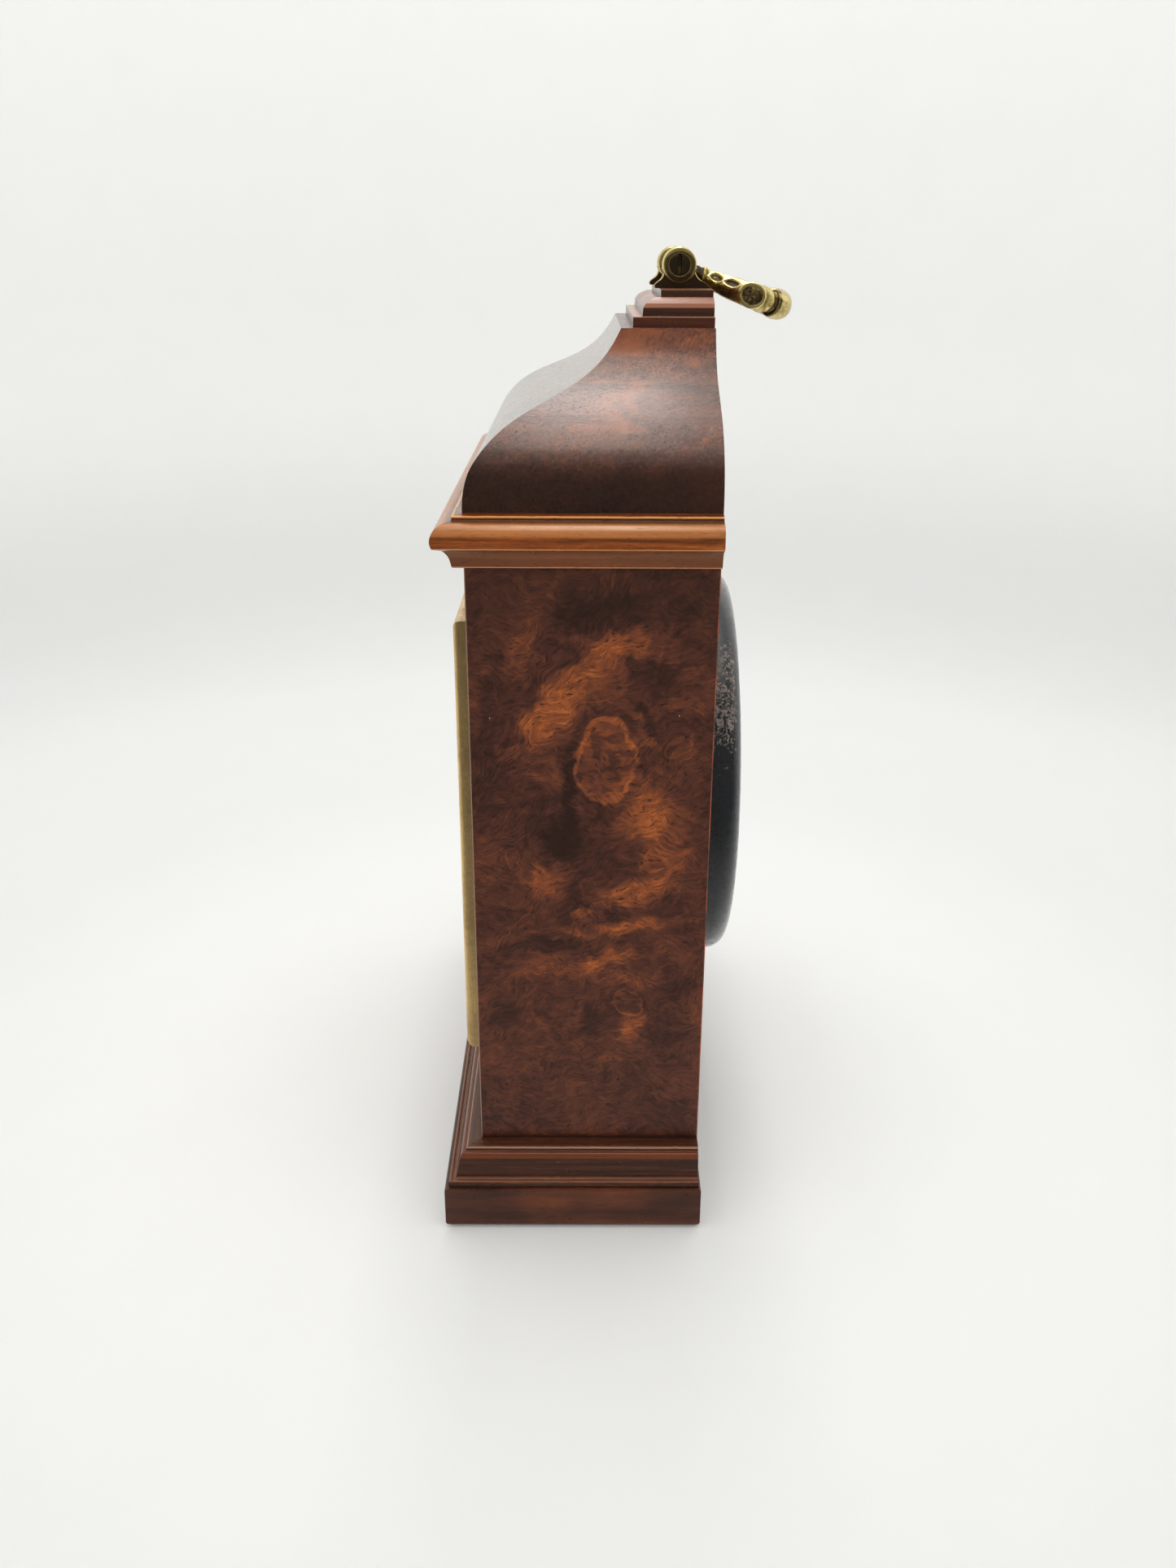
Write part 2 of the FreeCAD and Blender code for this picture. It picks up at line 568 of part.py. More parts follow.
def handle_bail():
    """Circles lofted from eye to eye, then the eyes and their bores."""
    path = BAIL_STATIONS + [(-x, d, r) for x, d, r in reversed(BAIL_STATIONS[:-1])]
    rings = []
    for i, (x, distance, radius) in enumerate(path):
        before, after = path[max(i - 1, 0)], path[min(i + 1, len(path) - 1)]
        direction = bail_point(*after[:2]) - bail_point(*before[:2])
        rings.append(Part.Wire(Part.makeCircle(radius, bail_point(x, distance), direction)))
    bail = Part.makeLoft(rings, True, False)
    for side in (-1, 1):
        eye = pivot_cyl(EYE_R, side, *EYE_X)
        circles = [e for e in eye.Edges if e.Curve.TypeId == "Part::GeomCircle"]
        bail = bail.fuse(eye.makeFillet(0.5, circles))
    for side in (-1, 1):
        bail = bail.cut(pivot_cyl(HANDLE_PIN_R + 0.05, side, EYE_X[0] - 3, EYE_X[1] + 0.4))
    return bail.Solids[0]


# ======================= door =========================================
def middle_knuckle(x, y, z):
    return zcyl(KNUCKLE_R, x, y, z - MIDDLE_KNUCKLE_HALF, z + MIDDLE_KNUCKLE_HALF)


def door_frame():
    y0, y1 = DOOR_Y
    frame = dial_square(DOOR_HALF, y0, y1)
    frame = frame.makeFillet(2.9, [e for e in frame.Edges if e.BoundBox.YMax < y0 + 0.01])
    frame = frame.cut(dial_square(SIGHT_HALF, y0 - 1, y1 + 1))
    reach = SIGHT_HALF + 0.01
    sight_edges = [e for e in frame.Edges if e.BoundBox.YMax < y0 + 0.01
                   and abs(e.BoundBox.XMin) < reach and abs(e.BoundBox.XMax) < reach
                   and e.BoundBox.ZMin > DIAL_Z - reach and e.BoundBox.ZMax < DIAL_Z + reach]
    frame = frame.makeChamfer(1.8, sight_edges)
    frame = frame.cut(dial_square(REBATE_HALF, GLASS_Y[0], y1 + 1))
    x, y, half = DOOR_HINGE_X, DOOR_HINGE_Y, MIDDLE_KNUCKLE_HALF
    for z in DOOR_HINGE_Z:
        arm = box(x, -DOOR_HALF + 1, y - 1.1, y + 1.1, z - half, z + half)
        frame = frame.fuse(fuse(middle_knuckle(x, y, z), arm))
    for z in DOOR_HINGE_Z:
        frame = frame.cut(zcyl(HINGE_PIN_R + PIN_FIT, x, y, z - 4, z + 4))
    stud_end = y1 + CATCH_STUD_OUT
    stud = fuse(ycyl(CATCH_STUD_R, CATCH, y1 - 2, stud_end),
                Part.makeSphere(CATCH_STUD_R, Vector(CATCH[0], stud_end, CATCH[1])))
    return frame.fuse(stud).Solids[0]


def door_glass():
    return dial_square(GLASS_HALF, *GLASS_Y)


def door_glass_retainer():
    keeper = dial_square(GLASS_HALF, GLASS_Y[1], GLASS_Y[1] + 0.9)
    return keeper.cut(dial_square(SIGHT_HALF + 0.5, -50, -40))


def door_catch():
    """A split socket pressed into the front board round the door's stud."""
    socket = ycyl(CATCH_SOCKET_R, CATCH, FRONT_Y + 0.05, FRONT_Y + 7.0)
    socket = socket.cut(ycyl(2.0, CATCH, FRONT_Y - 1, FRONT_Y + 9))
    x, z = CATCH
    return socket.cut(box(x - 0.3, x + 0.3, FRONT_Y - 1, FRONT_Y + 8, z, z + 4))


# ======================= hinges =======================================
def hinge_leaf(x, y, z, out):
    """Leaf and two knuckles. The leaf lies on a board whose outward normal is out along Y."""
    board_y = y - PIN_OFFSET * out
    y0, y1 = sorted((board_y, board_y + LEAF_T * out))
    half, gap = LEAF_HALF_H, KNUCKLE_GAP_HALF
    leaf = box(x - LEAF_W, x, y0, y1, z - half, z + half)
    leaf = drill(leaf, SCREW_CLEAR_R, leaf_screw_places(x, z), y0 - 1, y1 + 1)
    k0, k1 = sorted((board_y + 0.3 * out, y))
    knuckles = [fuse(zcyl(KNUCKLE_R, x, y, z0, z1), box(x - KNUCKLE_R, x, k0, k1, z0, z1))
                for z0, z1 in ((z - half, z - gap), (z + gap, z + half))]
    clear = box(x - 2.6, x + 0.1, board_y - 5, board_y + 5, z - gap, z + gap)
    leaf = fuse(leaf.cut(clear), *knuckles)
    return leaf.cut(zcyl(HINGE_PIN_R + PIN_FIT / 2, x, y, z - 9, z + 9)).Solids[0]


def hinge_leaves():
    return [hinge_leaf(*hinge) for hinge in HINGES]


def hinge_pins():
    return [fuse(zcyl(HINGE_PIN_R, x, y, z - LEAF_HALF_H, z + 8.6),
                 zcyl(1.5, x, y, z + 8.55, z + 9.4)) for x, y, z, _ in HINGES]


# ======================= back cover ===================================
def back_cover_ring():
    ring = ycyl(RING_R[1], COVER_CENTRE, BACK_Y, BACK_Y + RING_T)
    ring = ring.cut(ycyl(RING_R[0], COVER_CENTRE, BACK_Y - 1, BACK_Y + 4))
    return drill(ring, SCREW_CLEAR_R, RING_SCREWS, BACK_Y - 1, BACK_Y + 4)


def cover_section(radius, face_y, edge_r):
    """Half outline of the pressed cover: wall, rounded edge and flat face."""
    wall_end = Vector(radius, face_y - edge_r, 0)
    face_start = Vector(radius - edge_r, face_y, 0)
    diagonal = edge_r * math.cos(math.pi / 4)
    middle = Vector(radius - edge_r + diagonal, face_y - edge_r + diagonal, 0)
    return [Part.makeLine(Vector(radius, COVER_MOUTH_Y, 0), wall_end),
            Part.Arc(wall_end, middle, face_start).toShape(),
            Part.makeLine(face_start, Vector(0, face_y, 0))]


def back_cover():
    inner_r, inner_y = COVER_R - COVER_T, COVER_FACE_Y - COVER_T
    loop = cover_section(COVER_R, COVER_FACE_Y, COVER_ROUND)
    loop.append(Part.makeLine(Vector(0, COVER_FACE_Y, 0), Vector(0, inner_y, 0)))
    loop += cover_section(inner_r, inner_y, COVER_ROUND - COVER_T)[::-1]
    loop.append(Part.makeLine(Vector(inner_r, COVER_MOUTH_Y, 0),
                              Vector(COVER_R, COVER_MOUTH_Y, 0)))
    face = Part.Face(Part.Wire(Part.__sortEdges__(loop)))
    cover = face.revolve(Vector(0, 0, 0), Vector(0, 1, 0), 360)
    cover.translate(Vector(0, 0, COVER_Z))
    x, y, z, half = COVER_HINGE_X, COVER_HINGE_Y, COVER_Z, MIDDLE_KNUCKLE_HALF
    lug = box(x, -COVER_R + 0.5, y - 1.0, y + 1.0, z - half, z + half)
    lug = lug.cut(ycyl(COVER_R - 0.35, COVER_CENTRE, 40, 60))
    cover = cover.fuse(fuse(middle_knuckle(x, y, z), lug))
    return cover.cut(zcyl(HINGE_PIN_R + PIN_FIT, x, y, z - 4, z + 4)).Solids[0]


# ======================= dial and hands ===============================
def dial_plate():
    """Square plate with centre and winding holes, and a screw hole in each corner."""
    plate = dial_square(DIAL_HALF, *DIAL_Y)
    plate = plate.cut(ycyl(4.2, CENTRE, -36, -30)).cut(ycyl(5.0, BARREL, -36, -30))
    return drill(plate, SCREW_CLEAR_R, DIAL_SCREWS, -36, -30)


def chapter_ring():
    front = DIAL_Y[0] - CHAPTER_T
    ring = ycyl(CHAPTER_R[1], CENTRE, front, DIAL_Y[0]).cut(ycyl(CHAPTER_R[0], CENTRE, -37, -33))
    return ring.makeChamfer(0.4, [e for e in ring.Edges if e.BoundBox.YMax < front + 0.1
                                  and e.Curve.TypeId == "Part::GeomCircle"])


def dial_feet():
    y0, y1 = FRONT_PLATE_Y
    return [fuse(ycyl(2.5, place, DIAL_Y[1], y0), ycyl(1.3, place, y0, y1 + 1.0))
            for place in DIAL_FEET]


def hand(outline, clockwise, y0, y1, pipe_r):
    """A flat hand pointing up, turned clockwise to its reading."""
    hole_r = pipe_r + BORE_FIT
    solid = prism_y([(CENTRE[0] + x, CENTRE[1] + z) for x, z in outline], y0, y1)
    solid = solid.fuse(ycyl(hole_r + 1.6, CENTRE, y0, y1))
    solid = solid.cut(ycyl(hole_r, CENTRE, y0 - 1, y1 + 1))
    solid.rotate(Vector(CENTRE[0], 0, CENTRE[1]), Vector(0, 1, 0), clockwise)
    return solid.Solids[0]


def hour_hand():
    return hand(HOUR_OUTLINE, 30 * SHOWN_HOUR + SHOWN_MINUTE / 2, *HOUR_HAND_Y, HOUR_PIPE_R)


def minute_hand():
    return hand(MINUTE_OUTLINE, 6.0 * SHOWN_MINUTE, *MINUTE_HAND_Y, CANNON_R)


def hand_nut():
    nut = prism_y(ring_points(CENTRE, 3.1, 6), -41.2, -39.75)
    return nut.cut(ycyl(CENTRE_PIVOT_R + BORE_FIT, CENTRE, -42, -39))


# ======================= motion work ==================================
def cannon_pinion():
    leaves = gear(CENTRE, CANNON_LEAVES, CANNON_MODULE, CANNON_PHASE, -25.2, -23.0)
    cannon = fuse(ycyl(CANNON_R, CENTRE, MINUTE_HAND_Y[0], -25.2), leaves)
    return cannon.cut(ycyl(CENTRE_PIVOT_R + BORE_FIT, CENTRE, -41, -22)).Solids[0]


def minute_wheel():
    disc = wheel(MINUTE_POST, MINUTE_TEETH, CANNON_MODULE, MINUTE_PHASE, -24.6, -23.5,
                 shaft_r=POST_R, spokes=4, hub_r=POST_R + 3.2, spoke_w=2.2)
    leaves = gear(MINUTE_POST, MINUTE_LEAVES, HOUR_MODULE, MINUTE_PINION_PHASE, -28.2, -24.6)
    return fuse(disc, leaves).cut(ycyl(POST_R + PIVOT_FIT, MINUTE_POST, -30, -22)).Solids[0]


def hour_wheel():
    disc = wheel(CENTRE, HOUR_TEETH, HOUR_MODULE, HOUR_PHASE, -27.4, -26.2,
                 shaft_r=HOUR_PIPE_R - 0.5, spokes=4, hub_r=HOUR_PIPE_R + 1.5, spoke_w=2.4)
    piped = fuse(disc, ycyl(HOUR_PIPE_R, CENTRE, HOUR_HAND_Y[0], -26.0))
    return piped.cut(ycyl(CANNON_R + 0.05, CENTRE, -40, -25)).Solids[0]


def stub_posts():
    """Headed posts for the minute wheel and the click, riveted into the front plate."""
    return [fuse(ycyl(POST_R, place, -29.0, FRONT_PLATE_Y[1]), ycyl(2.0, place, -29.6, -28.5))
            for place in (MINUTE_POST, CLICK_POST)]


# ======================= plates =======================================
# pivot holes through both plates: place, radius
TRAIN_HOLES = [
    (CENTRE, CENTRE_PIVOT_R + PIVOT_FIT), (INTERMEDIATE, INTERMEDIATE_PIVOT_R + PIVOT_FIT),
    (THIRD, THIRD_PIVOT_R + PIVOT_FIT), (FOURTH, FOURTH_PIVOT_R + PIVOT_FIT),
    (BARREL, BARREL_PIVOT_R + PIVOT_FIT)]
PILLAR_HOLES = [(place, 1.45) for place in PILLARS]


def movement_plate(y0, y1, holes):
    plate = box(-PLATE_HALF_W, PLATE_HALF_W, y0, y1, *PLATE_Z)
    corners = [e for e in plate.Edges
               if abs(e.BoundBox.YMax - e.BoundBox.YMin - (y1 - y0)) < 0.01
               and e.BoundBox.XMax - e.BoundBox.XMin < 0.01]
    plate = plate.makeFillet(PLATE_CORNER_R, corners)
    for place, radius in holes:
        plate = plate.cut(ycyl(radius, place, y0 - 1, y1 + 1))
    return plate


def front_plate():
    holes = [(ESCAPE, ESCAPE_PIVOT_R + PIVOT_FIT),
             (MINUTE_POST, POST_R + 0.005), (CLICK_POST, POST_R + 0.005)]
    feet = [(place, 1.32) for place in DIAL_FEET]
    return movement_plate(*FRONT_PLATE_Y, TRAIN_HOLES + holes + PILLAR_HOLES + feet)


def back_plate():
    """The escape arbor passes freely through a wide hole to the bridge."""
    holes = [(ESCAPE, 3.0), (PALLET, PALLET_PIVOT_R + PIVOT_FIT),
             (BALANCE, BALANCE_PIVOT_R + PIVOT_FIT)]
    return movement_plate(*BACK_PLATE_Y, TRAIN_HOLES + holes + PILLAR_HOLES)


def pillars():
    y0, y1 = FRONT_PLATE_Y[1], BACK_PLATE_Y[0]
    return [ycyl(3.5, place, y0, y1).cut(ycyl(1.42, place, y0 - 1, y0 + 4.5))
            .cut(ycyl(1.42, place, y1 - 4.5, y1 + 1)) for place in PILLARS]


# ======================= barrel =======================================
DRUM_R = BARREL_TEETH * BARREL_MODULE / 2 - 1.3 * BARREL_MODULE
DRUM_Y = (-18.6, 4.6)
BARREL_TEETH_BACK = DRUM_Y[0] + 2.4
CORE_R = 4.0            # arbor inside the barrel
SQUARE_HALF = 2.0       # winding square


def barrel():
    y0, y1 = DRUM_Y
    teeth = gear(BARREL, BARREL_TEETH, BARREL_MODULE, BARREL_PHASE, y0, BARREL_TEETH_BACK)
    drum = fuse(teeth, ycyl(DRUM_R - 0.2, BARREL, BARREL_TEETH_BACK, y1))
    drum = drum.cut(ycyl(DRUM_R - 1.6, BARREL, y0 + 2.2, y1 + 1))
    return drum.cut(ycyl(CORE_R + 0.04, BARREL, y0 - 1, y1)).Solids[0]


def barrel_cap():
    disc = ycyl(DRUM_R - 1.62, BARREL, DRUM_Y[1] - 1.4, DRUM_Y[1])
    return disc.cut(ycyl(CORE_R + 0.04, BARREL, 0, 9))


def barrel_arbor():
    (x, z), half = BARREL, SQUARE_HALF
    front = FRONT_PLATE_Y[0]
    return fuse(ycyl(BARREL_PIVOT_R, BARREL, front, 25.0),
                ycyl(CORE_R, BARREL, DRUM_Y[0] - 0.5, DRUM_Y[1] + 0.5),
                ycyl(5.2, BARREL, BARREL_TEETH_BACK, DRUM_Y[1] - 1.6),
                box(x - half, x + half, -36.0, front, z - half, z + half))


def mainspring():
    return spiral(BARREL, 6.0, DRUM_R - 2.2, turns=9.5, thickness=0.42,
                  y0=DRUM_Y[0] + 3.0, y1=DRUM_Y[1] - 2.0, segments=28)


RATCHET_TEETH, RATCHET_R, RATCHET_ROOT_R = 24, 10.2, 8.6
RATCHET_Y = (-24.2, -22.4)
# the click's nose rests just clear of the ratchet's tooth tips
CLICK_NOSE = polar(BARREL, RATCHET_R + 0.08, heading(BARREL, CLICK_POST) + 38)
CLICK_LENGTH = math.hypot(CLICK_NOSE[0] - CLICK_POST[0], CLICK_NOSE[1] - CLICK_POST[1])
CLICK_HEADING = heading(CLICK_POST, CLICK_NOSE)
# Distance from the click's pivot towards its nose, distance to the left of that line
CLICK_OUTLINE = [
    (0, 2.6), (4.5, 2.2), (CLICK_LENGTH - 3.0, 1.0), (CLICK_LENGTH, 0),
    (CLICK_LENGTH + 0.4, -1.6), (CLICK_LENGTH - 2.0, -2.4), (0, -2.6), (-5.4, -0.7), (-5.4, 0.7)]
SPRING_OUTLINE = [
    (-4.0, -8.3), (CLICK_LENGTH - 1.0, -4.6), (CLICK_LENGTH - 1.0, -4.1), (-4.0, -7.7)]


def ratchet_wheel():
    """Teeth with a near-radial face one way, sloping back the other, on a square hole."""
    points = []
    for i in range(RATCHET_TEETH):
        a = 2 * math.pi * i / RATCHET_TEETH
        for r, angle in ((RATCHET_R, a), (RATCHET_ROOT_R, a + 0.03)):
            points.append((BARREL[0] + r * math.cos(angle), BARREL[1] + r * math.sin(angle)))
    half = SQUARE_HALF + 0.02
    square = [(BARREL[0] + sx * half, BARREL[1] + sz * half)
              for sx, sz in ((-1, -1), (1, -1), (1, 1), (-1, 1))]
    return prism_y(points, *RATCHET_Y, [square])


def click_prism(outline, y0, y1):
    return prism_y([along(CLICK_POST, CLICK_HEADING, x, y) for x, y in outline], y0, y1)


def click():
    body = fuse(click_prism(CLICK_OUTLINE, *RATCHET_Y), ycyl(2.75, CLICK_POST, *RATCHET_Y))
    return body.cut(ycyl(POST_R + PIVOT_FIT, CLICK_POST, -26, -21)).Solids[0]


def click_spring():
    """A strip standing on its foot, close to the click's outer side."""
    foot = along(CLICK_POST, CLICK_HEADING, -4.0, -8.0)
    return fuse(click_prism(SPRING_OUTLINE, -24.0, -22.6),
                ycyl(1.9, foot, -24.4, FRONT_PLATE_Y[0]))


# ======================= going train ==================================
# name: place, shaft radius, pivot radius, front end, back support,
#       pinion (leaves, module, phase, front y, back y)
TRAIN_ARBORS = {
    "intermediate_arbor": (
        INTERMEDIATE, 2.2, INTERMEDIATE_PIVOT_R, None, BACK_PLATE_Y,
        (INTERMEDIATE_LEAVES, BARREL_MODULE, INTERMEDIATE_PINION_PHASE,
         DRUM_Y[0] - 0.6, DRUM_Y[0] + 3.0)),
    "centre_arbor": (
        CENTRE, 1.9, CENTRE_PIVOT_R, -41.6, BACK_PLATE_Y,
        (CENTRE_LEAVES, INTERMEDIATE_MODULE, CENTRE_PINION_PHASE, 6.4, 10.0)),
    "third_arbor": (
        THIRD, 1.3, THIRD_PIVOT_R, None, BACK_PLATE_Y,
        (THIRD_LEAVES, CENTRE_MODULE, THIRD_PINION_PHASE, 11.2, 14.2)),
    "fourth_arbor": (
        FOURTH, 1.1, FOURTH_PIVOT_R, None, BACK_PLATE_Y,
        (FOURTH_LEAVES, THIRD_MODULE, FOURTH_PINION_PHASE, 14.8, 17.4)),
    "escape_arbor": (
        ESCAPE, 0.9, ESCAPE_PIVOT_R, None, BRIDGE_Y,
        (ESCAPE_LEAVES, FOURTH_MODULE, ESCAPE_PINION_PHASE, -3.0, -0.2)),
}
# name: place, teeth, module, phase, front y, back y, shaft radius, spokes, hub radius, spoke width
TRAIN_WHEELS = {
    "intermediate_wheel": (INTERMEDIATE, INTERMEDIATE_TEETH, INTERMEDIATE_MODULE,
                           INTERMEDIATE_PHASE, 7.4, 8.8, 2.2, 5, 4.6, 2.4),
    "centre_wheel": (CENTRE, CENTRE_TEETH, CENTRE_MODULE, CENTRE_PHASE,
                     12.0, 13.2, 1.9, 5, 4.4, 2.2),
    "third_wheel": (THIRD, THIRD_TEETH, THIRD_MODULE, THIRD_PHASE,
                    15.6, 16.5, 1.3, 5, 3.4, 1.8),
    "fourth_wheel": (FOURTH, FOURTH_TEETH, FOURTH_MODULE, FOURTH_PHASE,
                     -2.0, -1.2, 1.1, 4, 3.0, 1.6),
}


def train_arbor(place, radius, pivot_r, front_end, back, pinion):
    return fuse(arbor(place, radius, pivot_r, FRONT_PLATE_Y, back, front_end),
                gear(place, *pinion))


# ======================= escapement ===================================
# One escape tooth: radius, angle in radians from its tip
ESCAPE_TOOTH = [(7.4, 0), (7.4, 0.06), (5.6, 0.22), (5.6, 0.33)]
# Distance from the pallet arbor towards the balance, distance to the left of that line
LEVER_OUTLINE = [
    (1.2, 0.6), (8.6, 0.5), (9.4, 1.7), (10.3, 1.7), (10.3, 0.55), (9.1, 0.5), (9.1, -0.5),
    (10.3, -0.55), (10.3, -1.7), (9.4, -1.7), (8.6, -0.5), (1.2, -0.6), (0.8, -1.5),
    (-1.6, -5.6), (-3.8, -4.6), (-3.0, -3.6), (-1.3, -0.9), (-1.3, 0.9), (-3.0, 3.6),
    (-3.8, 4.6), (-1.6, 5.6), (0.8, 1.5)]
INDEX_BOSS_R = 2.4      # boss on the bridge that the regulator index turns on


def escape_wheel():
    points = []
    for i in range(ESCAPE_TEETH):
        tip = 2 * math.pi * i / ESCAPE_TEETH
        points += [(ESCAPE[0] + r * math.cos(tip + a), ESCAPE[1] + r * math.sin(tip + a))
                   for r, a in ESCAPE_TOOTH]
    return prism_y(points, 27.0, 27.8,
                   [bore(ESCAPE, 0.9)] + windows(ESCAPE, 2.2, 4.6, 4, 1.0, 10))


def pallet_lever():
    """The lever lies one clearance behind the escape wheel."""
    outline = [along(PALLET, ESCAPEMENT_LINE, x, y) for x, y in LEVER_OUTLINE]
    return fuse(prism_y(outline, 28.05, 29.05),
                arbor(PALLET, 0.7, PALLET_PIVOT_R, BACK_PLATE_Y, BRIDGE_Y))


def balance_wheel():
    x, z = BALANCE
    rim = prism_y(ring_points(BALANCE, 11.0, 72), 33.0, 34.8, [ring_points(BALANCE, 9.6, 72)])
    arms = [box(x - half_x, x + half_x, 33.2, 34.2, z - half_z, z + half_z)
            for half_x, half_z in ((0.9, 9.8), (9.8, 0.9))]
    staff = arbor(BALANCE, 0.7, BALANCE_PIVOT_R, BACK_PLATE_Y, BRIDGE_Y)
    roller = ycyl(2.6, BALANCE, 30.3, 31.1)
    impulse_pin = ycyl(0.35, polar(BALANCE, 2.0, ESCAPEMENT_LINE + 180), 29.2, 30.3)
    return fuse(rim, *arms, staff, roller, impulse_pin)


def hairspring():
    return spiral(BALANCE, 1.2, 5.6, turns=7.0, thickness=0.16, y0=35.9, y1=36.7, segments=20)


def escapement_bridge():
    y0, y1 = BRIDGE_Y
    bridge = prism_y(BRIDGE_OUTLINE, y0, y1)
    for place in BRIDGE_FEET:
        bridge = bridge.fuse(ycyl(3.4, place, BACK_PLATE_Y[1], y0))
    bridge = drill(bridge, 1.45, BRIDGE_FEET, y1 - 6.2, y1 + 1)
    for place, pivot_r in ((ESCAPE, ESCAPE_PIVOT_R), (PALLET, PALLET_PIVOT_R),
                           (BALANCE, BALANCE_PIVOT_R)):
        bridge = bridge.cut(ycyl(pivot_r + PIVOT_FIT, place, y0 - 1, y1 + 1))
    bridge = bridge.fuse(ycyl(INDEX_BOSS_R, BALANCE, y1 - 0.001, y1 + 1.4))
    return bridge.cut(ycyl(BALANCE_PIVOT_R + PIVOT_FIT, BALANCE, 30, 45)).Solids[0]


def regulator_index():
    """A disc round the bridge's boss with a tapered pointer standing up."""
    y0, y1 = BRIDGE_Y[1] + 0.1, BRIDGE_Y[1] + 1.1
    pointer = [(BALANCE[0] + x, BALANCE[1] + z)
               for x, z in ((-1.0, 2), (-0.5, 13), (0.5, 13), (1.0, 2))]
    index = fuse(ycyl(4.2, BALANCE, y0, y1), prism_y(pointer, y0, y1))
    return index.cut(ycyl(INDEX_BOSS_R + 0.04, BALANCE, 39, 43)).Solids[0]


def steel_screws():
    """The screws of hinges, cover ring, dial, pillars and bridge."""
    screws = []
    for x, y, z, out in HINGES:
        seat = y - PIN_OFFSET * out + LEAF_T * out
        screws += [screw(place, seat, -out) for place in leaf_screw_places(x, z)]
    screws += [screw(place, BACK_Y + RING_T, -1) for place in RING_SCREWS]
    screws += [screw(place, DIAL_Y[1], -1) for place in DIAL_SCREWS]
    for place in PILLARS:
        screws += [screw(place, FRONT_PLATE_Y[0], 1), screw(place, BACK_PLATE_Y[1], -1)]
    return screws + [screw(place, BRIDGE_Y[1], -1) for place in BRIDGE_FEET]


# ======================= files ========================================
# each function is named after the piece it makes
PIECES = (
    plinth, base_board, base_moulding, crown_moulding, side_panel_right, side_panel_left,
    front_board, back_board, top_board, bell_top, cap_tier_lower, cap_tier_middle,
    cap_tier_upper, handle_posts, handle_screws, handle_bail, door_frame, door_glass,
    door_glass_retainer, door_catch, hinge_leaves, hinge_pins, back_cover_ring, back_cover,
    dial_plate, chapter_ring, dial_feet, hour_hand, minute_hand, hand_nut, cannon_pinion,
    minute_wheel, hour_wheel, stub_posts, front_plate, back_plate, pillars, barrel, barrel_cap,
    barrel_arbor, mainspring, ratchet_wheel, click, click_spring, escape_wheel, pallet_lever,
    balance_wheel, hairspring, escapement_bridge, regulator_index, steel_screws)

for make in PIECES:
    save(make.__name__, make())
for name, values in TRAIN_ARBORS.items():
    save(name, train_arbor(*values))
for name, values in TRAIN_WHEELS.items():
    save(name, wheel(*values))
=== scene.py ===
"""A carriage-type clock: walnut case, brass bail handle, engraved dial, black back cover.

The clock stands on z = 0 with its width along x and its front towards -y. Materials and pieces
are worked in millimetres; the stage, the lights and the camera are in metres.
"""
import math

import bmesh
import bpy
from mathutils import Euler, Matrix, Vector

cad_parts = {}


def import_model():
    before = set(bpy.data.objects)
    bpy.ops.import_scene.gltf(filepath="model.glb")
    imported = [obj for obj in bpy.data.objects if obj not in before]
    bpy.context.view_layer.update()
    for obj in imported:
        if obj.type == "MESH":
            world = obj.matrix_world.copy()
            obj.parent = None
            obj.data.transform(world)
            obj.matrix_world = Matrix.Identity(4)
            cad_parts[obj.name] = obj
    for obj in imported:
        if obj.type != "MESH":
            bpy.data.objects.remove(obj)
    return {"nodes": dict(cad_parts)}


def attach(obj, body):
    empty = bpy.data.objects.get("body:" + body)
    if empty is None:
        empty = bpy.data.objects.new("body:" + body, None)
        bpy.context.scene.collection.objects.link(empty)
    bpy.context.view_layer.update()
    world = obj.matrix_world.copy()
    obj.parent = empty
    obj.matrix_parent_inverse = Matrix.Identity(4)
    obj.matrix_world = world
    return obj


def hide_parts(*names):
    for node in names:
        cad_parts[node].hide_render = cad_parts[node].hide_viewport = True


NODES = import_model()["nodes"]
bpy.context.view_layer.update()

MM = 0.001
CASE_HALF_WIDTH = 100.0
CASE_FRONT, CASE_BACK = -42.0, 42.0
DIAL_Z = 150.0
COVER_Z = 152.2                     # centre of the round back cover

# The bail turns about an axis along x, and slopes backwards and down from it.
PIVOT_Y, PIVOT_Z = 30.85, 348.2
BAIL_SLOPE = 21.6                   # degrees below level
# Lozenges sunk in each bail arm: outwards, upwards, their half sizes, turn in degrees, depth
LOZENGES = [(14.1, 1.0, 2.35, 1.45, 12, 0.62), (19.7, 1.35, 2.75, 1.30, 15, 0.66)]
# Oval button on each bail corner: outwards, upwards and their half sizes
BUTTON_OUT, BUTTON_UP, BUTTON_HALF_OUT, BUTTON_HALF_UP = 27.5, 0.25, 3.85, 3.5


def cos_sin(degrees):
    return math.cos(math.radians(degrees)), math.sin(math.radians(degrees))


SLOPE_COS, SLOPE_SIN = cos_sin(BAIL_SLOPE)


def rotated(first, second, degrees):
    """Coordinates seen from axes turned by an angle."""
    cos, sin = cos_sin(degrees)
    return first * cos + second * sin, second * cos - first * sin


# =====================================================================
# Material graphs
# =====================================================================
def hue(color, factor):
    return tuple(min(1.0, channel * factor) for channel in color)


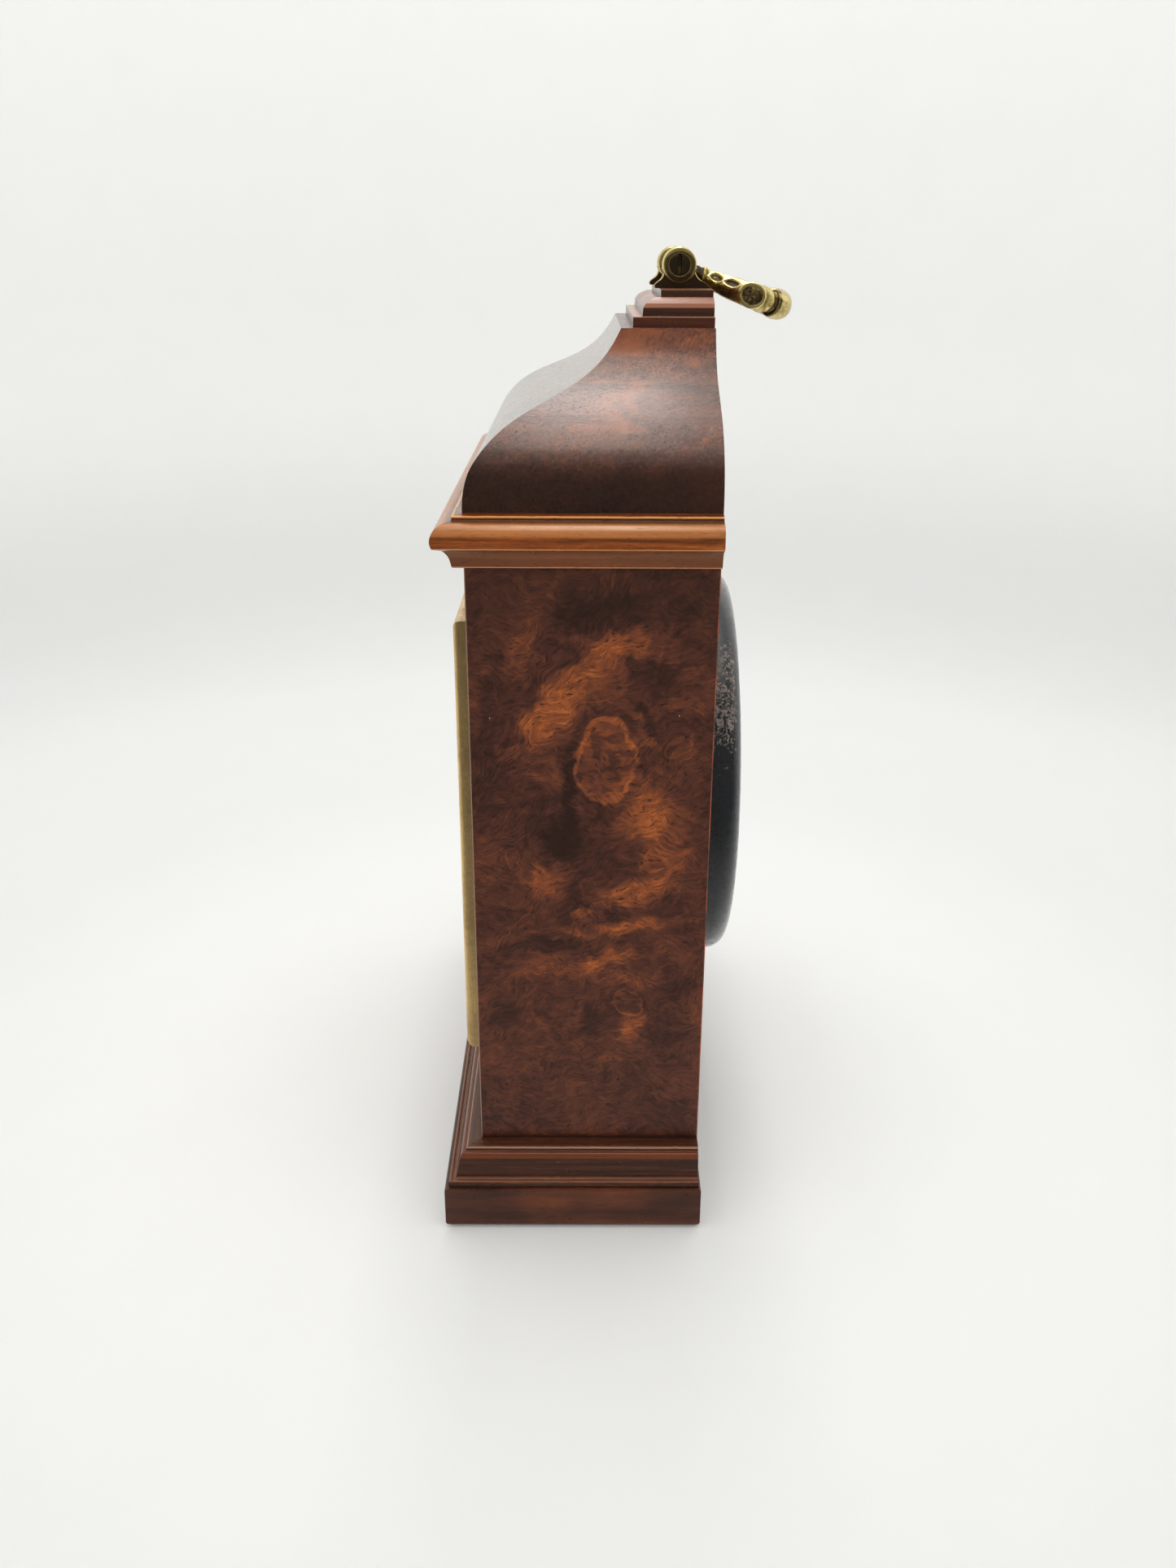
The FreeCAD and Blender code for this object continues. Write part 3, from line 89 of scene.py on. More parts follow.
class Value:
    """One output in a material graph; arithmetic and methods on it add nodes."""

    def __init__(self, graph, socket):
        self.graph, self.socket = graph, socket

    def __add__(self, other):
        return self.graph.math("ADD", self, other)

    __radd__ = __add__

    def __sub__(self, other):
        return self.graph.math("SUBTRACT", self, other)

    def __rsub__(self, other):
        return self.graph.math("SUBTRACT", other, self)

    def __mul__(self, other):
        return self.graph.math("MULTIPLY", self, other)

    def __truediv__(self, other):
        return self.graph.math("DIVIDE", self, other)

    def abs(self):
        return self.graph.math("ABSOLUTE", self)

    def clamp(self):
        return self.graph.math("ADD", self, clamp=True)

    def scaled(self, factor):
        return self.graph.add("VectorMath", {0: self, "Scale": factor}, operation="SCALE")

    def split(self):
        node = self.graph.add("SeparateXYZ", {0: self}).socket.node
        return tuple(Value(self.graph, output) for output in node.outputs[:3])

    def noise(self, scale, detail=2.0, rough=0.5, warp=0.0, color=False):
        inputs = {"Vector": self, "Scale": scale, "Detail": detail,
                  "Roughness": rough, "Distortion": warp}
        return self.graph.add("TexNoise", inputs, output=1 if color else 0)

    def cells(self, scale, feature="F1"):
        return self.graph.add("TexVoronoi", {"Vector": self, "Scale": scale},
                              output="Distance", feature=feature)

    def ramp(self, stops, tone=1.0):
        """Colour from (position, colour) stops, each brightened by tone."""
        value = self.graph.add("ValToRGB", {0: self})
        elements = value.socket.node.color_ramp.elements
        while len(elements) < len(stops):
            elements.new(0.5)
        for element, (position, color) in zip(elements, stops):
            element.position = position
            element.color = (*hue(color, tone), 1.0)
        return value

    def blend(self, low, high):
        """Colour low where this value is 0, high where it is 1."""
        return self.graph.add("Mix", {0: self, 6: low, 7: high}, output=2,
                              data_type="RGBA", clamp_factor=True)

    def linear(self, start, end, low=0.0, high=1.0, curve="LINEAR"):
        """Runs from low at start to high at end."""
        inputs = {"Value": self, "From Min": start, "From Max": end,
                  "To Min": low, "To Max": high}
        return self.graph.add("MapRange", inputs, interpolation_type=curve)

    def step(self, start, end, low=0.0, high=1.0):
        """Like linear, but eased at both ends."""
        return self.linear(start, end, low, high, "SMOOTHSTEP")

    def fall(self, start, end, top=1.0):
        """Eased drop from top at start to nothing at end."""
        return self.step(start, end, top, 0.0)

    def band(self, low, high, soft):
        """1 between low and high, fading over soft outside them."""
        return self.step(low - soft, low) * self.fall(high, high + soft)


SURFACE_INPUTS = {
    "color": "Base Color", "rough": "Roughness", "metal": "Metallic", "ior": "IOR",
    "spec": "Specular IOR Level", "tint": "Specular Tint", "trans": "Transmission Weight",
    "coat": "Coat Weight", "coat_rough": "Coat Roughness", "coat_ior": "Coat IOR",
    "glow": "Emission Color", "glow_strength": "Emission Strength"}


class Graph:
    """A new material; its axes and pos are object coordinates in millimetres."""

    def __init__(self, name):
        self.material = bpy.data.materials.new(name)
        self.material.use_nodes = True
        self.tree = self.material.node_tree
        self.tree.nodes.clear()
        output = self.tree.nodes.new("ShaderNodeOutputMaterial")
        self.shader = self.tree.nodes.new("ShaderNodeBsdfPrincipled")
        self.tree.links.new(self.shader.outputs[0], output.inputs[0])
        self.pos = self.source("TexCoord", "Object").scaled(1.0 / MM)
        self.axes = self.pos.split()

    def put(self, socket, value):
        if isinstance(value, Value):
            self.tree.links.new(value.socket, socket)
        elif isinstance(value, tuple):
            socket.default_value = (*value, 1.0)
        else:
            socket.default_value = value

    def add(self, kind, inputs, output=0, **settings):
        node = self.tree.nodes.new("ShaderNode" + kind)
        for key, setting in settings.items():
            setattr(node, key, setting)
        for key, value in inputs.items():
            self.put(node.inputs[key], value)
        return Value(self, node.outputs[output])

    def source(self, kind, output):
        return self.add(kind, {}, output)

    def math(self, operation, first, second=0.0, clamp=False):
        return self.add("Math", {0: first, 1: second}, operation=operation, use_clamp=clamp)

    def join(self, x, y, z):
        return self.add("CombineXYZ", {0: x, 1: y, 2: z})

    def normal(self):
        return self.source("TexCoord", "Normal").split()

    def bump(self, height, strength, distance):
        """Relief; distance is in metres."""
        inputs = {"Strength": strength, "Distance": distance, "Height": height}
        self.put(self.shader.inputs["Normal"], self.add("Bump", inputs))

    def surface(self, **values):
        for key, value in values.items():
            self.put(self.shader.inputs[SURFACE_INPUTS[key]], value)


def distance(first, second):
    return first.graph.math("SQRT", first * first + second * second)


def drifted(coordinate, *drifts):
    """Shifts a coordinate by noises centred on 0.5, each with its reach."""
    for noise, reach in drifts:
        coordinate = coordinate + (noise - 0.5) * reach
    return coordinate


# ---------------------------------------------------------------------
# Burr walnut
# ---------------------------------------------------------------------
PORE_DARK = (0.020, 0.0075, 0.0048)
ORANGE = (0.395, 0.108, 0.028)
POLISH = (1.0, 0.80, 0.66)          # the old polish warms what it reflects
BURR_STOPS = [(0.0, (0.026, 0.0088, 0.0064)), (0.16, (0.047, 0.0150, 0.0105)),
              (0.32, (0.084, 0.0250, 0.0155)), (0.46, (0.135, 0.0370, 0.0170)),
              (0.62, (0.230, 0.0580, 0.0170)), (0.80, (0.355, 0.0900, 0.0210)),
              (1.0, (0.46, 0.140, 0.036))]

# Figure of the right side veneer: centre (y, z), half sizes, turn in degrees, strength
SIDE_LIGHT = [
    (-18, 240, 12, 7, 60, 0.5), (7, 234, 20, 6, -8, 0.55), (-6, 218, 26, 7.5, 47, 0.85),
    (-17, 205, 15, 5, 50, 0.45), (8, 196, 15, 6, 10, 0.55), (21, 167, 10, 9, 20, 1.0),
    (13, 177, 9, 7, 60, 0.6), (-14, 147, 11, 5, 12, 0.8), (15, 139, 17, 5.5, 8, 0.95),
    (-5, 131.5, 4.2, 1.6, 0, 0.9), (-5, 125, 5, 2, -30, 0.55), (15, 125, 15, 3.4, 14, 1.0),
    (5, 111, 12, 3.6, 22, 0.95), (16, 103, 16, 3.5, 5, 0.5), (14.6, 84, 3.4, 7.5, -12, 0.75),
    (-18, 107, 9, 8, 0, 0.38), (8, 68, 7, 3, 0, 0.3), (-28, 122, 13, 3.2, 12, 0.35),
    (32, 212, 9, 3, 0, 0.35), (26, 150, 9, 7, 0, 0.6), (34, 196, 6, 4, 0, 0.35),
    (-24, 226, 9, 5, 40, 0.3)]
SIDE_DARK = [
    (0, 243, 17, 8, 5, 0.75), (21, 221, 9, 8, 0, 0.75), (-8.4, 178, 3.2, 18, 3, 0.85),
    (-22, 171, 11, 13, 0, 0.4), (-10, 158, 7, 13, 0, 0.6), (-18, 116, 12, 6, 10, 0.65),
    (1.5, 86, 4.6, 9, 0, 0.7), (-31, 88, 6, 9, 0, 0.45), (8.5, 132, 5.5, 5.5, 0, 0.75),
    (31, 92, 7, 18, 0, 0.3), (-28, 133, 9, 3, 10, 0.4), (34, 240, 8, 14, 0, 0.3),
    (-6, 134, 9, 3, 25, 0.35), (-36, 200, 5, 40, 0, 0.28), (16, 212, 4, 2, -40, 0.5),
    (19, 206, 2.2, 8, 25, 0.6)]
# Burr eyes: centre (y, z), half sizes, strength
SIDE_EYES = [(5.0, 189.5, 10.0, 15.5, 1.0), (13.5, 93.5, 4.8, 5.6, 0.75),
             (-28.5, 152, 2.6, 4.2, 0.6), (30, 196, 4.2, 3.4, 0.5), (3, 132, 4.0, 3.4, 0.5)]
LEFT_EYES = [(-8, 176, 7.5, 11.5, 0.6), (12, 98, 4.2, 5.6, 0.45), (18, 214, 3.4, 4.4, 0.4)]
FIBRE_TURNS = (-28.0, 14.0, 58.0)   # the three fibre directions, in degrees


def soft_ellipses(across, up, ellipses):
    """Sum of soft ellipses on the veneer."""
    total = None
    for centre_across, centre_up, half_across, half_up, turn, amount in ellipses:
        cos, sin = cos_sin(turn)
        right, above = across - centre_across, up - centre_up
        along = (right * (cos / half_across)) + (above * (sin / half_across))
        square = (above * (cos / half_up)) - (right * (sin / half_up))
        spot = distance(along, square).fall(0.25, 1.45, top=amount)
        total = spot if total is None else total + spot
    return total


def veneer_coordinates(graph, plane):
    """Across, up and depth on a veneered face."""
    x, y, z = graph.axes
    if plane == "front":
        return x, z, y * 1.0
    side = graph.normal()[0].abs().step(0.45, 0.55)
    if plane == "side":             # the veneer turns the corner on to the front edge
        edge = x.abs() - (CASE_HALF_WIDTH - CASE_FRONT)
        return y * side + edge * (1.0 - side), z, x * 0.0
    return x * (1.0 - side) + y * side, z + x.abs() * -0.75, (x + y) * 1.0


def burr(name, plane="side", light=None, dark=None, eyes=(), seed=0.0, gloss=0.34,
         tone=1.0, warm=1.0, shade=None, spec=0.36, coat=0.06):
    """Burr veneer. plane is side, front or bell; shade(graph, color, across, up) finishes it."""
    graph = Graph(name)
    across, up, depth = veneer_coordinates(graph, plane)
    place = graph.join(across + seed, up + seed * 0.37, depth + seed)

    # the figure drifts at two scales
    broad_x, broad_y, broad_z = place.noise(0.022, color=True).split()
    mid_x, mid_y, mid_z = place.noise(0.085, detail=3.0, rough=0.6, color=True).split()
    figure_across = drifted(across, (broad_x, 22.0), (mid_x, 13.0))
    figure_up = drifted(up, (broad_y, 22.0), (mid_y, 13.0))

    # fibres run in three directions, handing over from place to place
    flow = drifted(place.noise(0.031, warp=0.5), (mid_z, 0.25))
    to_third, to_second = flow.step(0.53, 0.58), flow.step(0.42, 0.47)
    fibre_across, fibre_up = drifted(across, (mid_x, 9.0)), drifted(up, (mid_y, 9.0))

    def hatch(along_scale, square_scale, detail):
        layers = []
        for turn in FIBRE_TURNS:
            along, square = rotated(fibre_across, fibre_up, turn)
            spot = graph.join(along * along_scale + seed, square * square_scale,
                              depth * square_scale + turn)
            layers.append(spot.noise(1.0, detail=detail, rough=0.6))
        return (layers[0] * (1.0 - to_second) + layers[1] * (to_second * (1.0 - to_third))
                + layers[2] * (to_third * to_second))

    streak = hatch(along_scale=0.16, square_scale=0.85, detail=4.0).linear(0.30, 0.70)
    fine = hatch(along_scale=0.30, square_scale=1.75, detail=2.0)
    mottle = graph.join(figure_across * 1.2, figure_up * 1.5, depth + seed).noise(
        0.16, detail=6.0, rough=0.64, warp=0.6)
    cloud = graph.join(figure_across, figure_up * 1.15, depth * 0.3 + seed).noise(
        0.032, detail=4.0, rough=0.56, warp=0.35)

    # lightness of the wood: clouds, mottle and streaks, then the placed figure
    cloud_contrast = 0.85 if light else 1.35
    lightness = (cloud - 0.5) * cloud_contrast + (mottle - 0.5) * 0.85 + (streak - 0.5) * 0.30
    if light:
        spot_across = drifted(across, (mid_x, 15.0), (broad_x, 6.0))
        spot_up = drifted(up, (mid_y, 15.0), (broad_y, 6.0))
        pale = soft_ellipses(spot_across, spot_up, light) * (streak * 0.30 + 0.34)
        lightness = lightness + pale - soft_ellipses(spot_across, spot_up, dark) * 0.42 - 0.09

    # eyes: a curled inside, a bright broken rim and a dark halo
    for centre_across, centre_up, half_across, half_up, strength in eyes:
        radius = distance(drifted(across - centre_across, (mid_x, 8.0)) / half_across,
                          drifted(up - centre_up, (mid_y, 8.0)) / half_up)
        inside = radius.fall(0.88, 1.0)
        curls = graph.join(figure_across * 1.0, figure_up * 1.15, centre_across).cells(
            0.20, "SMOOTH_F1").band(0.38, 0.46, soft=0.14) * 0.26 - 0.13
        rim = (radius.band(0.95, 1.03, soft=0.07)
               * (broad_z + mid_z).step(0.75, 1.1, low=0.45, high=1.0))
        halo = radius.band(1.15, 1.3, soft=0.15) * -0.16
        lightness = (lightness * (1.0 - inside * 0.35 * strength)
                     + (inside * curls + rim * 0.34 + halo) * strength)
    lightness = (lightness * warm + (fine - 0.5) * -0.30).linear(-0.46, 0.80)
    color = lightness.ramp(BURR_STOPS, tone)

    # pores: short dark dashes along the fibres, plainest in the pale wood
    crowd = place.noise(0.06, detail=1.0)
    pore = ((fine - (0.645 - crowd * 0.12)) * 14.0).clamp()
    lift = ((0.40 - fine) * 9.0).clamp() * lightness.step(0.25, 0.6)
    pore_depth = lightness.linear(0.1, 0.5, low=0.45, high=0.82)
    color = (pore * pore_depth).blend(color, hue(PORE_DARK, 0.8))
    color = (lift * 0.30).blend(color, hue(ORANGE, 1.15))
    # a few tiny pale specks of old polish
    speck = place.cells(0.045).fall(0.008, 0.014)
    color = (speck * 0.75).blend(color, (0.62, 0.50, 0.40))
    if shade:
        color = shade(graph, color, across, up)

    haze = place.noise(0.5, detail=3.0, rough=0.6)
    if plane == "bell":             # lacquer lies thicker on the front and back slopes
        slope = graph.normal()[1].abs().step(0.15, 0.45, low=0.22, high=0.95)
        coat = slope * haze.linear(0.35, 0.6, low=0.75, high=1.0)
    graph.surface(color=color, rough=gloss + (haze - 0.5) * 0.16 + pore * 0.25, spec=spec,
                  tint=POLISH, coat=coat, coat_rough=0.17, coat_ior=1.5)
    graph.bump(pore * -0.6 + fine * 0.5 + place.noise(0.16) * 2.2,
               strength=0.5, distance=0.00008)
    return graph.material


def panel_edges(graph, color, across, up):
    """Painted shade under the crown and above the base, a pale front arris, a red back arris."""
    # painted shadow of the crown across the top of the panel
    color = (up.step(226.0, 252.0) * 0.42).blend(color, (0.030, 0.0125, 0.0085))
    # painted shade: a dark line along the panel's foot where it meets the base
    color = (up.step(34.4, 32.9) * 0.75).blend(color, (0.016, 0.0075, 0.0055))
    front_arris = across.band(-42.6, -41.75, soft=0.18) * 0.6
    color = front_arris.blend(color, (0.42, 0.27, 0.19))
    patches = graph.join(0.0, 0.0, up).noise(0.05).step(0.40, 0.60)
    back_arris = across.band(41.72, 42.6, soft=0.12) * patches
    return (back_arris * 0.8).blend(color, (0.55, 0.085, 0.020))


def bell_shade(graph, color, across, up):
    """Nearly black in painted shade at the foot of the curve, redder to the back, dusty grey-brown
    above.
    """
    x, y, z = graph.axes
    # painted shade darkens the foot of the curve nearly to black
    low = drifted(z, (graph.pos.noise(0.05, detail=3.0), 8.0)).fall(284.0, 298.0)
    color = (low * 0.80).blend(color, (0.018, 0.0078, 0.0055))
    back = y.step(18.0, 40.0) * low
    color = (back * 0.40).blend(color, (0.072, 0.018, 0.0095))
    dust = graph.pos.noise(0.9, detail=5.0, rough=0.75).linear(0.50, 0.75)
    color = (dust * 0.28 * (1.0 - low)).blend(color, (0.34, 0.25, 0.20))
    curl = graph.join(x * 0.6, y * 0.8, z * 1.4).noise(0.060, detail=4.0, rough=0.62, warp=0.6)
    glow = curl.step(0.50, 0.66) * y.step(-12.0, 14.0) * z.step(288.0, 296.0)
    return (glow * 0.62).blend(color, (0.30, 0.078, 0.020))


# ---------------------------------------------------------------------
# Straight-grained mouldings and carcass wood
# ---------------------------------------------------------------------
PLAIN_STOPS = [(0.0, (0.030, 0.012, 0.0075)), (0.40, (0.082, 0.030, 0.017)),
               (0.56, (0.150, 0.052, 0.025)), (0.72, (0.240, 0.085, 0.036)),
               (1.0, (0.34, 0.13, 0.055))]
PLINTH_STOPS = [(0.0, (0.026, 0.0095, 0.0068)), (0.36, (0.050, 0.0165, 0.0105)),
                (0.56, (0.088, 0.0265, 0.0145)), (0.76, (0.150, 0.0400, 0.0165)),
                (1.0, (0.235, 0.064, 0.022))]
BASE_STOPS = [(0.0, (0.018, 0.0064, 0.0043)), (0.34, (0.042, 0.0126, 0.0075)),
              (0.52, (0.084, 0.0225, 0.0108)), (0.72, (0.160, 0.0415, 0.0155)),
              (1.0, (0.27, 0.078, 0.026))]
CROWN_STOPS = [(0.0, (0.050, 0.0125, 0.0035)), (0.30, (0.120, 0.0270, 0.0055)),
               (0.55, (0.230, 0.0500, 0.0090)), (0.80, (0.360, 0.0980, 0.0200)),
               (1.0, (0.46, 0.155, 0.040))]
CARCASS_STOPS = [(0.0, (0.15, 0.085, 0.048)), (0.5, (0.27, 0.165, 0.095)),
                 (1.0, (0.38, 0.25, 0.15))]
BACK_STOPS = [(0.0, (0.040, 0.018, 0.011)), (0.5, (0.085, 0.038, 0.021)),
              (1.0, (0.14, 0.065, 0.036))]

# Tinted bands up each moulding, some of them painted highlights: bottom z, top z, softness, colour,
# amount
BASE_TINTS_AND_HIGHLIGHTS = [
    (31.9, 32.6, 0.25, (0.085, 0.030, 0.014), 0.5),
    (31.45, 31.75, 0.12, (0.42, 0.20, 0.11), 0.75),
    # partly the orange-brown of the rounded top, partly a painted highlight on it
    (28.6, 30.2, 0.5, (0.205, 0.050, 0.016), 0.62),
    (21.4, 28.0, 0.6, (0.028, 0.0108, 0.0075), 0.50),
    # painted highlight along the bead
    (20.55, 21.0, 0.22, (0.24, 0.088, 0.042), 0.6),
    (18.0, 20.0, 0.2, (0.016, 0.0075, 0.005), 0.6)]
CROWN_TINTS_AND_HIGHLIGHTS = [
    (274.3, 275.2, 0.10, (0.045, 0.016, 0.008), 0.55),
    (274.25, 274.75, 0.10, (0.85, 0.36, 0.12), 0.9),
    (273.0, 273.9, 0.25, (0.030, 0.0105, 0.005), 0.85),
    # painted highlight on the upper torus, over wood worn paler there
    (269.8, 272.6, 0.9, (0.52, 0.215, 0.068), 0.45),
    (265.0, 265.5, 0.18, (0.62, 0.27, 0.10), 0.85),
    (258.9, 264.7, 0.25, (0.165, 0.060, 0.030), 0.82),
    (257.4, 258.55, 0.08, (0.60, 0.25, 0.12), 0.8)]
CAP_TINTS_AND_HIGHLIGHTS = [
    (338.0, 340.15, 0.10, (0.026, 0.0105, 0.0065), 0.72),
    (340.2, 340.6, 0.08, (0.34, 0.15, 0.075), 0.75),
    # painted highlight on the top of the middle tier's ovolo
    (335.0, 337.6, 0.7, (0.30, 0.088, 0.036), 0.72),
    (332.2, 334.4, 0.5, (0.030, 0.012, 0.008), 0.66),
    (337.75, 338.02, 0.08, (0.30, 0.12, 0.06), 0.5),
    (328.6, 331.4, 0.25, (0.085, 0.018, 0.0085), 0.72),
    (331.72, 331.95, 0.09, (0.46, 0.20, 0.11), 0.8)]


def straight(name, stops=PLAIN_STOPS, pale=1.0, tints_and_highlights=(), gloss=0.30, seed=0.0, mitred=True,
             relief=0.6, coat=0.10, spec=0.5, reflection=POLISH, flow=1.0):
    """Straight grain. mitred: along x in front and along y at the sides; otherwise along x."""
    graph = Graph(name)
    x, y, z = graph.axes
    along, square = x, y
    if mitred:
        front = ((y * -1.0 + CASE_FRONT) if False else (y * -1.0 - -CASE_FRONT)) \
            - (x.abs() - CASE_HALF_WIDTH)
        front = front.step(-0.02, 0.02)
        along = x * front + y * (1.0 - front)
        square = y * front + x * (1.0 - front)
    bend = graph.join(along * 0.045 + seed, z + seed, square).noise(0.16)
    streak = graph.join(along * 0.030 + seed * 3.1, z * flow + bend * 4.0, square * flow).noise(
        0.62, detail=4.0, rough=0.62, warp=0.4)
    fibre = graph.join(along * 0.09, z + bend * 1.5, square).noise(2.6, detail=3.0, rough=0.65)
    lightness = streak * 0.72 + fibre * 0.28
    if flow < 1.0:                  # slow clouds along a broad face
        cloud = graph.join(along * 0.35 + seed, z * 0.8, square * 0.35).noise(
            0.055, detail=4.0, rough=0.6, warp=0.5)
        lightness = lightness * 0.55 + cloud * 0.60 - 0.06
    color = lightness.linear(0.26, 0.76).ramp(stops, pale)
    # each band blends in a tint; some bands are painted highlights
    for bottom, top, soft, tint, amount in tints_and_highlights:
        waver = graph.join(along * 0.25, 0.0, seed).noise(0.5) * 0.24 - 0.12
        color = ((z + waver).band(bottom, top, soft) * amount).blend(color, tint)
    pores = graph.join(along * 0.30, z * 2.6, square * 2.6).noise(1.0, detail=1.0, rough=0.4)
    pore = ((pores - 0.66) * 11.0).clamp()
    color = (pore * 0.5).blend(color, (0.020, 0.008, 0.005))
    worn = graph.join(along, z, square).noise(0.08, detail=3.0, rough=0.6)
    graph.surface(color=color, rough=gloss + (worn - 0.5) * 0.18, spec=spec, tint=reflection,
                  coat=coat, coat_rough=0.14)
    graph.bump(fibre * relief + pore * -0.5, strength=0.5, distance=0.00007)
    return graph.material


# ---------------------------------------------------------------------
# Metals
# ---------------------------------------------------------------------
BRASS = (0.56, 0.385, 0.115)
STEEL = (0.36, 0.355, 0.345)
CAST_STOPS = [(0.0, (0.82, 0.66, 0.26)), (0.35, (0.56, 0.425, 0.145)),
              (0.62, (0.245, 0.172, 0.066)), (1.0, (0.050, 0.030, 0.016))]


def bail_tarnish_and_light(graph, darkening, small):
    """Bright raised edges and brown hollows, following the relief of the bail, with painted shade
    on the lower edge and a painted highlight on the upper edge.
    """
    x, y, z = graph.axes
    back, above = y - PIVOT_Y, z - PIVOT_Z
    out = back * SLOPE_COS - above * SLOPE_SIN
    up = back * SLOPE_SIN + above * SLOPE_COS
    outer = x.abs().step(16.2, 17.2) * graph.normal()[0].abs().step(0.10, 0.35)
    waver = (small - 0.5) * 0.5
    for at_out, at_up, half_out, half_up, turn, _ in LOZENGES:
        cos, sin = cos_sin(turn)
        along = ((out - at_out) * cos + (up - at_up) * sin) * (1 / half_out)
        square = ((up - at_up) * cos - (out - at_out) * sin) * (1 / half_up)
        radius = distance(along, square) + waver * 0.3
        lip = radius.band(1.02, 1.30, soft=0.18)
        darkening = darkening + outer * (radius.fall(0.62, 0.88, top=0.75) - lip * 0.85)
    # the button and its lip
    radius = distance((out - BUTTON_OUT) * (1 / BUTTON_HALF_OUT),
                      (up - BUTTON_UP) * (1 / BUTTON_HALF_UP)) + waver * 0.12
    mottle = (small - 0.5) * 1.9 * radius.fall(0.8, 0.95)
    lip = radius.band(1.04, 1.26, soft=0.08)
    darkening = darkening + outer * (radius.fall(0.82, 0.98, top=0.45) + mottle - lip * 1.1)
    # painted shade makes the lower edge browner, and a painted highlight makes the upper edge
    # brighter
    darkening = darkening * 0.82 + outer * up.step(-0.3, -1.6) * out.step(24.0, 20.0) * 0.42
    upper = (up + (out - 20.0) * -0.05).band(2.4, 3.4, soft=0.5)
    darkening = darkening - outer * upper * out.step(12.0, 15.0) * 0.6
    # a dark line where the grip meets the arm, and darker round the eye
    sideways = x.abs()
    seam = (sideways + out * -0.9).band(-13.1, -11.8, soft=0.5)
    darkening = darkening * 0.92 + seam * out.step(33.0, 34.0) * sideways.step(18.4, 19.0) * 0.6
    darkening = darkening + out.step(10.6, 7.6) * distance(back, above).step(5.9, 6.3) * 0.7
    # the grip is rubbed clean
    grip = sideways.step(19.3, 18.6) * out.step(32.0, 34.0)
    darkening = darkening * (1.0 - grip * 0.72) + grip * (small.linear(0.50, 0.68) * 0.34 + 0.14)
    return darkening.clamp()


def post_tarnish_and_light(graph, darkening, small):
    """Outer face tarnished brown, with painted shade on the foot's flat side and a painted
    highlight at the top of the boss; rounded rim rubbed bright.
    """
    y, z = graph.axes[1:]
    radius = graph.math("SQRT", (y - PIVOT_Y) * (y - PIVOT_Y) + (z - PIVOT_Z) * (z - PIVOT_Z))
    face = graph.normal()[0].abs().step(0.80, 0.96)
    # the top of the boss face is left bright: a painted highlight
    boss = (radius + (small - 0.5) * 0.4 + z.step(349.5, 353.5) * 0.85).fall(5.2, 5.5)
    # outside the boss and low down the flat face is dark: tarnish and painted shade on the foot's
    # flat side
    tarnish_and_painted_light = (boss * (0.80 + (small - 0.5) * 0.6) + radius.step(6.1, 6.4) * 0.95
               + z.step(346.0, 343.5) * 0.8)
    darkening = darkening * (1.0 - face) + face * tarnish_and_painted_light
    # bright ring round the screw seat, darker towards the foot
    seat = radius.band(3.72, 3.95, soft=0.07)
    darkening = darkening * seat.step(0.2, 0.9, low=1.0, high=0.30)
    return (darkening + z.step(344.5, 341.5) * 0.5).clamp()


def brass_cast(name, seed=0.0, tarnish_and_painted_light=None):
    """Old cast brass: bright on the high edges, brown in the hollows."""
    graph = Graph(name)
    x, y, z = graph.axes
    place = graph.join(x + seed, y, z)
    patch = place.noise(0.22, detail=4.0, rough=0.62, warp=0.8)
    small = place.noise(1.1, detail=4.0, rough=0.65)
    grain = place.noise(4.5, detail=3.0, rough=0.7)
    stain = patch * 0.55 + small * 0.35 + grain * 0.10
    edge = graph.source("NewGeometry", "Pointiness").linear(0.47, 0.535)
    darkening = (stain.linear(0.40, 0.64) + (0.55 - edge) * 1.1).clamp()
    if tarnish_and_painted_light:
        darkening = tarnish_and_painted_light(graph, darkening, small)
    graph.surface(color=darkening.ramp(CAST_STOPS),
                  metal=darkening.linear(0.5, 1.0, low=1.0, high=0.72),
                  rough=darkening.linear(0.0, 1.0, low=0.22, high=0.50) + (grain - 0.5) * 0.12,
                  spec=0.5)
    graph.bump(small * 1.0 + grain * 0.35 + patch * 1.2, strength=0.55, distance=0.00012)
    return graph.material


def brass_flat(name, brushed=None, tone=1.0, darkening=0.35, rough=0.26, seed=0.0, base=BRASS):
    """Finished brass. brushed: None, "x", or "frame" for along each bar of a square frame."""
    graph = Graph(name)
    x, y, z = graph.axes
    place = graph.join(x + seed, y, z)
    if brushed == "x":
        brush = graph.join(x * 0.05, y * 3.0, z * 3.0)
    elif brushed == "frame":
        upright = (x.abs() - (z - DIAL_Z).abs()).step(-0.02, 0.02)
        brush = graph.join(x * (0.05 + upright * 2.9), y * 2.4, z * (3.0 - upright * 2.95))
    else:
        brush = place.scaled(1.2)
    line = brush.noise(1.6, detail=3.0, rough=0.6)
    stain = place.noise(0.045, detail=4.0, rough=0.6, warp=0.6)
    spots = place.noise(0.55, detail=3.0, rough=0.6)
    stained = (stain * 0.7 + spots * 0.3).linear(0.46, 0.68, high=darkening).clamp()
    color = stained.blend(hue(base, tone), (0.150, 0.096, 0.040))
    color = ((line - 0.5) * 0.35 + 0.12).blend(color, hue(base, tone * 1.25))
    graph.surface(color=color, metal=1.0, rough=rough + (line - 0.5) * 0.16 + stained * 0.30)
    graph.bump(line, strength=0.25, distance=0.00003)
    return graph.material


def steel(name, base, stained, stain_range, rough):
    graph = Graph(name)
    stain = graph.pos.noise(0.12, detail=4.0, rough=0.6, warp=0.3)
    fine = graph.pos.noise(2.0, detail=3.0, rough=0.6)
    graph.surface(color=stain.linear(*stain_range).blend(base, stained), metal=1.0,
                  rough=rough + (fine - 0.5) * 0.14)
    graph.bump(fine, strength=0.25, distance=0.00002)
    return graph.material


